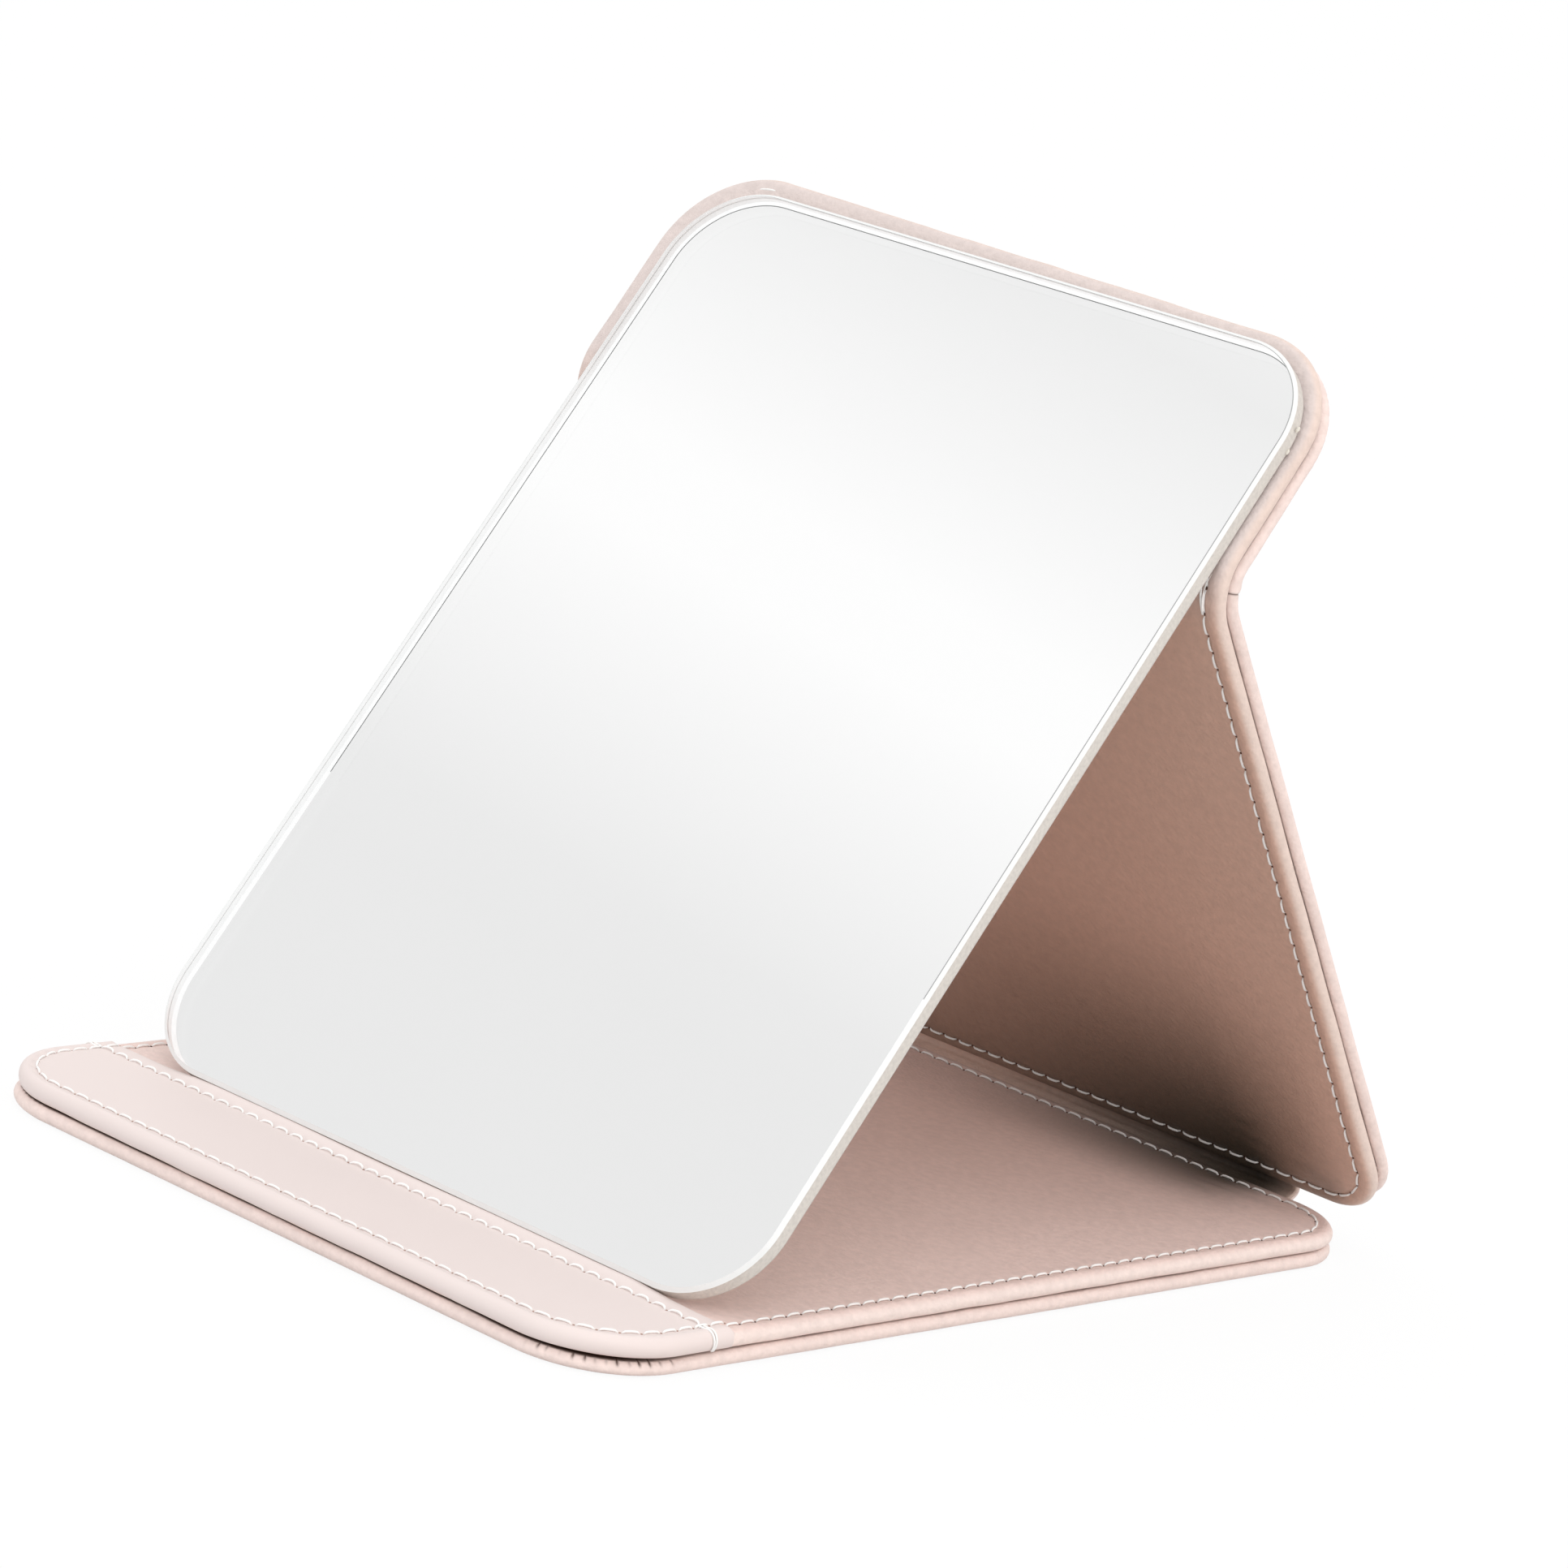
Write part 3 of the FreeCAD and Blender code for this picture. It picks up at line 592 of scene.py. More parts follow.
class Layer:
    """A closed leather layer, drawn flat as rings from its hidden face round its edge to its shown face."""

    def __init__(self, outline, look, line, sizes):
        roll = sizes.edge_roll
        angles = np.radians(np.linspace(-90.0, 90.0, ROLL_RINGS))
        hidden = np.linspace(EDGE_ZONE, roll, HIDDEN_RINGS)[:-1]
        shown = np.linspace(roll, EDGE_ZONE, SHOWN_RINGS)[1:]
        fill = np.linspace(0.0, 1.0, FILL_RINGS + 1)[1:]
        insets = np.concatenate([hidden, roll * (1 - np.cos(angles)), shown])
        rising = look.thickness / 2 * (1 + np.sin(angles))
        heights = np.concatenate([hidden * 0, rising, shown * 0 + look.thickness])
        shows = np.concatenate([hidden * 0, (1 + np.sin(angles)) / 2, shown * 0 + 1])
        count = len(outline.points)
        self.inset = np.repeat(insets[:, None], count, axis=1)
        self.height = np.repeat(heights[:, None], count, axis=1)
        self.shows = np.repeat(shows[:, None], count, axis=1)
        self.arc = line.arc
        self.shape_edge(look, sizes)
        self.flat = outline.points - outline.outward * self.inset[:, :, None]
        self.close_faces(outline, fill)
        self.relieve(look, line, sizes)
        self.look = look
        between = look.crack * (1 - smooth_step(self.shows / CRACK_END))
        lip = look.strokes * (1 - smooth_step((self.shows - CRACK_END) / STROKE_REACH))
        self.crack = np.clip(np.maximum(between, lip), 0.0, 1.0)

    def shape_edge(self, look, sizes):
        """Stray, gathers and the gap to the other layer."""
        fade = np.exp(-self.inset / STRAY_FADE)
        short = SHORT_STRAY_SHARE * stray(self.arc, SHORT_STRAY, look.seed + 1)
        wander = stray(self.arc, LONG_STRAY, look.seed) + short
        gathered = (1 - self.shows) * bump((self.inset - GATHER_INSET) / GATHER_REACH)
        groove = (1 - self.shows) * (1 - smooth_step(self.inset / GROOVE_REACH))
        self.height = self.height + groove * look.gap
        self.height = self.height + groove * sizes.edge_wander * stray(self.arc, GROOVE_STRAY, look.seed + 2)
        kept_back = look.retreat * np.exp(-self.inset / RETREAT_FADE)
        self.inset = self.inset + fade * sizes.edge_wander * wander + gathered * look.pleats + kept_back

    def close_faces(self, outline, fill):
        """Add the rings that close both faces on their middle line."""
        middle = outline.spine_points(FAN_REACH)
        for at, shares in ((0, fill[::-1]), (-1, fill)):
            edge = self.flat[at]
            rings = edge + (middle - edge) * shares[:, None, None]
            reach = np.linalg.norm(middle - edge, axis=1)
            insets = self.inset[at] + reach * shares[:, None]
            heights = np.repeat(self.height[at][None, :], len(shares), axis=0)
            shows = np.repeat(self.shows[at][None, :], len(shares), axis=0)
            order = (lambda new, old: [new, old]) if at == 0 else (lambda new, old: [old, new])
            self.flat = np.vstack(order(rings, self.flat))
            self.inset = np.vstack(order(insets, self.inset))
            self.height = np.vstack(order(heights, self.height))
            self.shows = np.vstack(order(shows, self.shows))

    def relieve(self, look, line, sizes):
        """Swell the leather beside its stitches, pull it down under them, and let the sheet wave."""
        between = np.clip(self.inset / look.inset, 0.0, 1.0)
        swell = look.puff * np.square(np.sin(math.pi * between))
        pull = 1 - PULL_CHANGE + PULL_CHANGE * np.cos(2 * math.pi * self.arc / line.pitch)
        furrow = sizes.furrow_depth * bump((self.inset - look.inset) / sizes.furrow_width) * pull
        sheet = smooth_step((self.inset - look.inset) / SHEET_START)
        wave = look.wave * sheet * ripple(self.flat, SHEET_WAVES, look.seed)
        self.height = self.height + self.shows * (swell - furrow + wave)

    def points(self):
        """Flat points of all rings, one after another."""
        rise = LAYER + self.look.side * (self.look.lift + self.height)
        return np.dstack([self.flat, rise]).reshape(-1, 3)

    def shares(self):
        """How much each point takes the painted highlight of its rolled edge, and the painted shade of the
        crack.
        """
        edge = 1 - smooth_step((self.inset - EDGE_TINT_START) / EDGE_TINT_REACH)
        return {"edge": edge.ravel(), "crack": self.crack.ravel()}

    def shadow(self, spine, depth, least):
        """How much each point takes the painted shadow of the fold at the spine."""
        x = self.flat[:, :, 0].ravel()
        y = self.flat[:, :, 1].ravel()
        return fold_shadow(x, least) * (1 - smooth_step(np.abs(y - spine) / depth))


def ring_faces(ring_count, point_count):
    """Faces between neighbouring closed rings."""
    faces = []
    for ring in range(ring_count - 1):
        here = ring * point_count
        for point in range(point_count):
            after = (point + 1) % point_count
            there = here + point_count
            faces.append((here + point, here + after, there + after, there + point))
    return faces


def make_piece(name, points, faces, materials, bands=None, shares=None, sharp=math.pi):
    """A new closed mesh object with merged seams and faces that point outwards."""
    mesh = bpy.data.meshes.new(name)
    mesh.from_pydata(np.asarray(points).tolist(), [], faces)
    for material in materials:
        mesh.materials.append(material)
    if bands is not None:
        mesh.polygons.foreach_set("material_index", bands)
    for key, values in (shares or {}).items():
        layer = mesh.attributes.new(key, "FLOAT", "POINT")
        layer.data.foreach_set("value", np.asarray(values, dtype=np.float32))
    finish_mesh(mesh, sharp)
    piece = bpy.data.objects.new(name, mesh)
    bpy.context.scene.collection.objects.link(piece)
    return piece


def finish_mesh(mesh, sharp=math.pi):
    """Merge seams, turn faces outwards and shade smoothly but for sharp angles and borders of materials."""
    work = bmesh.new()
    work.from_mesh(mesh)
    bmesh.ops.remove_doubles(work, verts=work.verts[:], dist=SAME_POINT)
    bmesh.ops.dissolve_degenerate(work, edges=work.edges[:], dist=SAME_POINT)
    bmesh.ops.recalc_face_normals(work, faces=work.faces[:])
    for face in work.faces:
        face.smooth = True
    for edge in work.edges:
        one_material = len({face.material_index for face in edge.link_faces}) == 1
        edge.smooth = one_material and edge.calc_face_angle(0.0) < sharp
    work.to_mesh(mesh)
    work.free()


def feed(tree, node, inputs):
    """Link a node's inputs to other nodes, or set them to plain values."""
    for key, value in inputs.items():
        if isinstance(value, bpy.types.NodeSocket):
            tree.links.new(value, node.inputs[key])
        else:
            node.inputs[key].default_value = value


def add_node(tree, kind, inputs=None, **settings):
    """A node with its settings, its plain values and its links."""
    node = tree.nodes.new(kind)
    for key, value in settings.items():
        setattr(node, key, value)
    feed(tree, node, inputs or {})
    return node


def add_math(tree, operation, *values):
    """Result of one sum."""
    return add_node(tree, "ShaderNodeMath", dict(enumerate(values)), operation=operation).outputs[0]


def add_mix(tree, factor, first, second, blend="MIX"):
    """Result of mixing two colours."""
    inputs = {0: factor, 6: first, 7: second}
    return add_node(tree, "ShaderNodeMix", inputs, data_type="RGBA", blend_type=blend).outputs[2]


def add_range(tree, value, low, high, start=0.0, end=1.0):
    """A value between start and end, carried over to low and high."""
    return add_node(tree, "ShaderNodeMapRange", {0: value, 1: start, 2: end, 3: low, 4: high}).outputs[0]


def add_relief(tree, height, depth, strength=0.5):
    """Direction of a surface that a height raises by up to a depth."""
    inputs = {"Strength": strength, "Distance": depth, "Height": height}
    return add_node(tree, "ShaderNodeBump", inputs).outputs[0]


def add_cloudy_tone(tree, cloudy, shade, low, high):
    """A colour that wanders softly between two shares of its light."""
    return add_mix(tree, cloudy, opaque(darker(shade, low)), opaque(darker(shade, high)))


def opaque(shade):
    """A colour with full strength, as a socket takes it."""
    return (*shade, 1.0)


def darker(shade, share):
    """The same colour with only a share of its light."""
    return tuple(part * share for part in shade)


def start_material(name):
    """A new material with its shader, and its object coordinates."""
    material = bpy.data.materials.new(name)
    material.use_nodes = True
    tree = material.node_tree
    tree.nodes.clear()
    shader = add_node(tree, "ShaderNodeBsdfPrincipled")
    add_node(tree, "ShaderNodeOutputMaterial", {"Surface": shader.outputs[0]})
    place = add_node(tree, "ShaderNodeTexCoord").outputs["Object"]
    return material, tree, shader, place


def add_noise(tree, place, scale, detail=3.0):
    """Soft noise between 0 and 1 at a scale in waves to the metre."""
    inputs = {"Vector": place, "Scale": scale, "Detail": detail}
    return add_node(tree, "ShaderNodeTexNoise", inputs).outputs[0]


def add_grain(tree, place, cell):
    """Height of leather grain with pebbles of about one cell across."""
    pebbles = add_node(
        tree, "ShaderNodeTexVoronoi", {"Vector": place, "Scale": 1.0 / cell, "Smoothness": 0.6},
        feature="SMOOTH_F1").outputs["Distance"]
    fine = add_math(tree, "MULTIPLY", add_noise(tree, place, FINE_GRAIN / cell), FINE_GRAIN_SHARE)
    return add_math(tree, "ADD", add_math(tree, "MULTIPLY", pebbles, -1.0), fine)


def leather_finish(name, face, **tints):
    """Fine-grained leather; each tint is the colour that it takes where the attribute of that name is 1."""
    material, tree, shader, place = start_material(name)
    grain = add_grain(tree, place, GRAIN_CELL)
    cloudy = add_noise(tree, place, scale=55.0, detail=4.0)
    speckled = add_noise(tree, place, scale=650.0, detail=2.0)
    tone = add_cloudy_tone(tree, cloudy, face, 0.95, 1.04)
    for attribute, shade in tints.items():
        share = add_node(tree, "ShaderNodeAttribute", attribute_name=attribute).outputs["Fac"]
        tone = add_mix(tree, share, tone, opaque(shade))
    level = add_range(tree, speckled, 0.94, 1.04, start=0.3, end=0.7)
    grey = add_node(tree, "ShaderNodeCombineColor", {0: level, 1: level, 2: level}).outputs[0]
    feed(tree, shader, {
        "Base Color": add_mix(tree, 1.0, tone, grey, "MULTIPLY"),
        "Roughness": add_range(tree, speckled, 0.44, 0.62),
        "Specular IOR Level": 0.35,
        "Normal": add_relief(tree, grain, 0.00015, strength=0.65)})
    return material


def thread_finish(name, shade):
    """Twisted cotton-like thread with a soft sheen."""
    material, tree, shader, place = start_material(name)
    fluff = add_noise(tree, place, scale=2600.0, detail=2.0)
    cloudy = add_noise(tree, place, scale=240.0, detail=2.0)
    feed(tree, shader, {
        "Base Color": add_cloudy_tone(tree, cloudy, shade, 0.94, 1.02),
        "Roughness": add_range(tree, fluff, 0.6, 0.85),
        "Specular IOR Level": 0.25,
        "Sheen Weight": 0.25,
        "Normal": add_relief(tree, fluff, 0.0001)})
    return material


def plain_finish(name, shade, scale, rough, depth=0.0, spread=0.12, metal=0.0):
    """A lightly uneven finish: cloudy colour, uneven gloss and a fine relief."""
    material, tree, shader, place = start_material(name)
    cloudy = add_noise(tree, place, scale, detail=4.0)
    lightest = min(1 + spread, 1 / max(shade))
    feed(tree, shader, {
        "Base Color": add_cloudy_tone(tree, cloudy, shade, 1 - spread, lightest),
        "Roughness": add_range(tree, cloudy, *rough),
        "Metallic": metal})
    if depth:
        feed(tree, shader, {"Normal": add_relief(tree, cloudy, depth)})
    return material


def lit_through(material):
    """Let an edge of the glass that is seen from within show the light that falls on it from outside."""
    tree = material.node_tree
    outlet = tree.nodes["Material Output"].inputs["Surface"]
    matt = outlet.links[0].from_socket
    place = add_node(tree, "ShaderNodeTexCoord").outputs["Object"]
    frosted = add_mix(tree, add_noise(tree, place, scale=900.0), FROSTED, WHITE)
    through = add_node(tree, "ShaderNodeBsdfTranslucent", {"Color": frosted})
    within = add_node(tree, "ShaderNodeNewGeometry").outputs["Backfacing"]
    both = add_node(tree, "ShaderNodeMixShader", {0: within, 1: matt, 2: through.outputs[0]})
    tree.links.new(both.outputs[0], outlet)
    return material


def glass_finish(name, shade):
    """Clear polished glass, very slightly uneven."""
    material, tree, shader, place = start_material(name)
    cloudy = add_noise(tree, place, scale=30.0, detail=2.0)
    feed(tree, shader, {
        "Base Color": add_mix(tree, cloudy, opaque(shade), WHITE),
        "Roughness": 0.0,
        "IOR": 1.5,
        "Transmission Weight": 1.0})
    return material


class Finishes:
    """All materials, each made once and kept by its plain name."""

    @staticmethod
    def get(name):
        kept = bpy.data.materials.get(name)
        return kept or getattr(Finishes, name)(name, bpy.context.scene.mirror_case_colours)

    @staticmethod
    def pale_leather(name, shades):
        return leather_finish(name, shades.pale_leather, crack=shades.crack)

    @staticmethod
    def lining_leather(name, shades):
        return leather_finish(
            name, shades.lining_leather, edge=shades.roll_painted_highlight,
            fold=shades.fold_painted_shadow, crack=shades.crack)

    @staticmethod
    def rear_lining(name, shades):
        return leather_finish(
            name, shades.upper_lining, shade=shades.rear_lining, edge=shades.back_roll_painted_highlight,
            fold=shades.fold_painted_shadow, crack=shades.crack)

    @staticmethod
    def strip_leather(name, shades):
        return leather_finish(name, shades.pale_leather, cut=shades.cut_leather, crack=shades.crack)

    @staticmethod
    def spine_leather(name, shades):
        return leather_finish(name, shades.spine_leather, fold=shades.fold_painted_shadow)

    @staticmethod
    def sewing_thread(name, shades):
        return thread_finish(name, shades.thread)

    @staticmethod
    def needle_hole(name, shades):
        return Finishes.hole(name, shades.needle_hole)

    @staticmethod
    def pale_hole(name, shades):
        return Finishes.hole(name, shades.pale_hole)

    @staticmethod
    def hole(name, shade):
        return plain_finish(name, shade, scale=900.0, rough=(0.7, 0.9), depth=0.00005, spread=0.3)

    @staticmethod
    def ground_edge(name, shades):
        ground = plain_finish(
            name, shades.ground_edge, scale=1500.0, rough=(0.35, 0.6), depth=0.0001, spread=0.22)
        return lit_through(ground)

    @staticmethod
    def bevel_line(name, shades):
        return plain_finish(name, shades.bevel_line, scale=300.0, rough=(0.1, 0.2))

    @staticmethod
    def polished_bevel(name, shades):
        # Painted reflection: a pale matt colour stands in for the studio reflected in the bevel
        return lit_through(plain_finish(name, shades.bevel, scale=300.0, rough=(0.06, 0.14), spread=0.03))

    @staticmethod
    def clear_glass(name, shades):
        return glass_finish(name, shades.glass)

    @staticmethod
    def silvered_face(name, shades):
        return plain_finish(name, shades.silver, scale=40.0, rough=(0.0, 0.015), spread=0.004, metal=1.0)

    @staticmethod
    def grey_card(name, shades):
        return plain_finish(name, shades.card, scale=900.0, rough=(0.75, 0.95), depth=0.0001)

    @staticmethod
    def backing_film(name, shades):
        return plain_finish(name, shades.film, scale=260.0, rough=(0.35, 0.5), depth=0.00004, spread=0.06)

    @staticmethod
    def clear_glue(name, shades):
        return plain_finish(name, shades.glue, scale=420.0, rough=(0.25, 0.5), depth=0.0001, spread=0.08)


def sizes_now():
    """Sizes that the operators work from."""
    return bpy.context.scene.mirror_case_sizes


def seed_now():
    """Seed that the operators work from."""
    return bpy.context.scene.mirror_case_stage.seed


def base_outline(sizes, overhang=0.0):
    """Outline of the base, or of the strip that wraps past it."""
    return Outline(
        BASE.half_width + overhang, -overhang, BASE.length + overhang, sizes.front_corner + overhang,
        sizes.spine_corner + overhang, EDGE_STEP, CORNER_STEP)


def back_outline(sizes):
    """Outline of the back's leather, drawn closer round the crease."""
    return Outline(
        BACK.half_width, 0.0, BACK.length, sizes.rear_corner, sizes.top_corner, EDGE_STEP, CORNER_STEP,
        close=(BACK.crease_middle, BACK.crease / 3, CREASE_STEP))


def edge_line(outline, sizes):
    """Line of the edge stitches."""
    return StitchLine(outline, sizes.stitch_inset, sizes.stitch_pitch)


def lining_inset(outline, sizes):
    """Distance from the back's edge to its lining's stitches, which run further in on the upper panel."""
    past = outline.points[:, 1] - BACK.crease_middle
    return sizes.stitch_inset + sizes.upper_drift * smooth_step(past / BACK.crease)


def lining_line(outline, sizes):
    """Line of the stitches on the back's lining."""
    return StitchLine(outline, lining_inset(outline, sizes), sizes.stitch_pitch)


def near_corner(outline, side, end, reach):
    """How near each outline point lies to one corner of the panel, from 0 to 1."""
    corner = np.array([side * outline.points[:, 0].max(), end])
    return bump(np.linalg.norm(outline.points - corner, axis=1) / reach)


def front_retreat(outline, sizes):
    """How far the inner leather stays back from the outer leather round the base."""
    return sizes.retreat * near_corner(outline, -1, 0.0, RETREAT_REACH)


def gathers(outline, sizes, seed):
    """Depth of the gathers in the outer leather, which crowd round the corners."""
    arc, _ = outline.arc(0.0)
    turning = np.abs(outline.outward).min(axis=1) > CORNER_TURN
    depth = np.zeros(len(arc))
    spots = np.random.default_rng(seed)
    place = 0.0
    while place < arc[-1]:
        strength = spots.uniform(*GATHER_STRENGTH)
        depth = np.maximum(depth, strength * bump((arc - place) / GATHER_WIDTH))
        place += spots.uniform(*GATHER_APART)
    return depth * turning * sizes.pleat_depth


def fold_shadow(x, least):
    """Painted shadow of the fold across the case: least at the left, most before the right corner."""
    dark = smooth_step((x - FOLD_DARK_START) / FOLD_DARK_REACH)
    pale = FOLD_PALE_SHARE * smooth_step((x - FOLD_PALE_START) / FOLD_PALE_REACH)
    ends = smooth_step((np.abs(x) - FOLD_END_START) / FOLD_END_REACH)
    return (least + (1 - least) * dark * (1 - pale)) * (1 - ends)


def layer_piece(name, layer, place, finish, **shares):
    """Piece made of one leather layer."""
    faces = ring_faces(*layer.inset.shape)
    return make_piece(name, place(layer.points()), faces, [Finishes.get(finish)],
                      shares={**layer.shares(), **shares})


class MIRROR_CASE_OT_base_leather(Operator):
    """Make the two leather layers of the base"""
    bl_idname = "mirror_case.base_leather"
    bl_label = "Base Leather"

    def execute(self, context):
        sizes = sizes_now()
        seed = seed_now()
        outline = base_outline(sizes)
        line = edge_line(outline, sizes)
        near = near_corner(outline, 1, 0.0, CORNER_GAP_REACH)
        gap = sizes.groove_gap + sizes.corner_gap * near
        pleats = gathers(outline, sizes, seed)
        front = 1 - smooth_step((outline.points[:, 1] - FRONT_END) / FRONT_FADE)
        crack = SIDE_CRACK + (1 - SIDE_CRACK) * front
        strokes = STROKE_STRENGTH * near * np.square(pleats / sizes.pleat_depth)
        outer_look = LayerLook(
            OUTER_SIDE, LAYER, seed, sizes.stitch_inset, gap=gap, pleats=pleats, crack=crack, strokes=strokes)
        inner_look = LayerLook(
            INNER_SIDE, LAYER, seed + INNER_SEED, sizes.stitch_inset, puff=sizes.edge_puff,
            wave=sizes.sheet_wave, retreat=front_retreat(outline, sizes), crack=crack)
        outer_layer = Layer(outline, outer_look, line, sizes)
        inner_layer = Layer(outline, inner_look, line, sizes)
        outer = layer_piece("base_outer_leather", outer_layer, BASE.place, "pale_leather")
        # The base lining takes the painted shadow of the fold beside the spine
        inner = layer_piece(
            "base_inner_leather", inner_layer, BASE.place, "lining_leather",
            fold=inner_layer.shadow(BASE.length, BASE_FOLD_DEPTH, 0.0))
        for piece, node in ((outer, "base_outer_skin"), (inner, "base_inner_skin")):
            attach(piece, "base")
            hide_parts(node)
        return {"FINISHED"}


class MIRROR_CASE_OT_front_strip(Operator):
    """Make the pale strip that laps over the front of the base"""
    bl_idname = "mirror_case.front_strip"
    bl_label = "Front Strip"

    def execute(self, context):
        sizes = sizes_now()
        outline = base_outline(sizes, sizes.strip_overhang)
        line = edge_line(outline, sizes)
        look = LayerLook(
            INNER_SIDE, LAYER + STRIP_RISE - STRIP_LIFT, seed_now() + STRIP_SEED, sizes.stitch_inset,
            lift=STRIP_LIFT, puff=sizes.edge_puff, wave=sizes.sheet_wave,
            retreat=front_retreat(outline, sizes), crack=STRIP_CRACK)
        layer = Layer(outline, look, line, sizes)
        strip = layer_piece("front_strip_leather", layer, BASE.place, "strip_leather")
        self.cut(strip.data, sizes)
        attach(strip, "base")
        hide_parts("front_strip")
        return {"FINISHED"}

    def cut(self, mesh, sizes):
        """Cut the strip from the full layer, close it and round its cut edge down to the base."""
        rear = float(BASE.origin[1]) + STRIP_DEPTH
        work = bmesh.new()
        work.from_mesh(mesh)
        for share in STRIP_CUTS:
            at = rear - sizes.strip_round * share
            bmesh.ops.bisect_plane(
                work, geom=work.verts[:] + work.edges[:] + work.faces[:], plane_co=(0.0, at, 0.0),
                plane_no=(0.0, 1.0, 0.0), clear_outer=share == 0.0)
        rim = [edge for edge in work.edges if edge.is_boundary]
        bmesh.ops.holes_fill(work, edges=rim)
        bmesh.ops.recalc_face_normals(work, faces=work.faces[:])
        cut = work.verts.layers.float.new("cut")
        for vertex in work.verts:
            share = min(1.0, (rear - vertex.co.y) / sizes.strip_round)
            stand = math.sqrt(max(0.0, 1.0 - (1.0 - share) ** 2))
            vertex[cut] = max(0.0, 1.0 - share)
            if vertex.co.z > BASE.thickness:
                swollen = self.swell(vertex.co, sizes)
                vertex.co.z = BASE.thickness + (swollen - BASE.thickness) * stand
            if abs(vertex.co.x) > BASE.half_width:
                past = abs(vertex.co.x) - BASE.half_width
                vertex.co.x = math.copysign(BASE.half_width + past * stand, vertex.co.x)
        work.to_mesh(mesh)
        work.free()

    def swell(self, point, sizes):
        """Height of the strip's top where it swells up against the foot of the glass."""
        low, high = UPPER.span("mirror_glass")
        toe = UPPER.place((0.0, low[1], high[2] - sizes.glass_bevel))
        heel = UPPER.place((0.0, low[1], low[2]))
        seam = float(BASE.origin[1]) + STRIP_DEPTH - sizes.strip_seam
        climb = smooth_step((point.y - seam - SWELL_START) / (toe[1] - seam - SWELL_END))
        straight = (high[0] - low[0]) / 2 - sizes.glass_corner
        aside = abs(point.x - (low[0] + high[0]) / 2) - straight
        climb = climb * (1 - smooth_step((aside + SWELL_SIDE) / SWELL_SIDE_REACH))
        wall = toe[2] + (heel[2] - toe[2]) * (point.y - toe[1]) / (heel[1] - toe[1])
        return min(point.z + sizes.strip_lip * float(climb), wall - GLASS_CLEARANCE)


class MIRROR_CASE_OT_back_leather(Operator):
    """Make the two leather layers that run over the rear panel, the crease and the upper panel"""
    bl_idname = "mirror_case.back_leather"
    bl_label = "Back Leather"

    def execute(self, context):
        sizes = sizes_now()
        seed = seed_now() + BACK_SEED
        outline = back_outline(sizes)
        outer_look = LayerLook(
            OUTER_SIDE, LAYER, seed, sizes.stitch_inset, puff=sizes.edge_puff, wave=sizes.sheet_wave,
            gap=2 * sizes.groove_gap, pleats=gathers(outline, sizes, seed), crack=BACK_CRACK)
        inner_look = LayerLook(
            INNER_SIDE, LAYER, seed + INNER_SEED, lining_inset(outline, sizes), puff=sizes.edge_puff,
            wave=sizes.sheet_wave, crack=BACK_CRACK)
        outer_layer = Layer(outline, outer_look, edge_line(outline, sizes), sizes)
        self.pinch(outer_layer, sizes)
        inner_layer = Layer(outline, inner_look, lining_line(outline, sizes), sizes)
        outer = layer_piece("back_outer_leather", outer_layer, BACK.place, "pale_leather")
        # Below the crease the lining takes the rear lining's painted shade, and towards the spine it takes
        # the painted shadow of the fold
        past = inner_layer.flat[:, :, 1].ravel() - REAR.length
        inner = layer_piece(
            "back_inner_leather", inner_layer, BACK.place, "rear_lining",
            shade=1 - smooth_step(past / BACK.crease),
            fold=inner_layer.shadow(0.0, BACK_FOLD_DEPTH, BACK_FOLD_LEAST))
        for piece, kind in ((outer, "outer"), (inner, "inner")):
            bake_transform(piece)
            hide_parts(f"rear_{kind}_skin", f"crease_{kind}_band", f"upper_{kind}_skin")
        return {"FINISHED"}

    def pinch(self, layer, sizes):
        """Press a sharp line into the outer leather where the crease folds it, with a bulge past it."""
        past = layer.flat[:, :, 1] - BACK.crease_middle
        line = np.exp(-np.abs(past) / sizes.pinch_width)
        bulge = bump((past - BULGE_PLACE) / BULGE_REACH)
        depth = sizes.pinch_depth * line - BULGE_RISE * bulge
        layer.height = layer.height - depth * layer.height / layer.look.thickness
        dark = PINCH_CRACK * smooth_step(PINCH_GAIN * line - PINCH_START)
        layer.crack = np.maximum(layer.crack, dark)


def spine_line(sizes):
    """Points and upward directions of the spine leather, from inside the base to inside the rear panel."""
    start = BASE.place((0.0, BASE.length, LAYER))
    end = REAR.place((0.0, 0.0, LAYER))
    leave = start + BASE.along * sizes.spine_handle
    arrive = end - REAR.along * sizes.spine_handle
    share = np.linspace(0.0, 1.0, SPINE_ROWS)[:, None]
    rest = 1 - share
    first_half = rest ** 3 * start + 3 * rest ** 2 * share * leave
    bend = first_half + 3 * rest * share ** 2 * arrive + share ** 3 * end
    tuck = np.linspace(1.0, 0.0, TUCK_ROWS)[:-1, None] * sizes.spine_tuck
    points = np.vstack([start - BASE.along * tuck, bend, end + REAR.along * tuck[::-1]])
    along = np.gradient(points, axis=0)
    along /= np.linalg.norm(along, axis=1)[:, None]
    return points, np.cross(ACROSS, along)


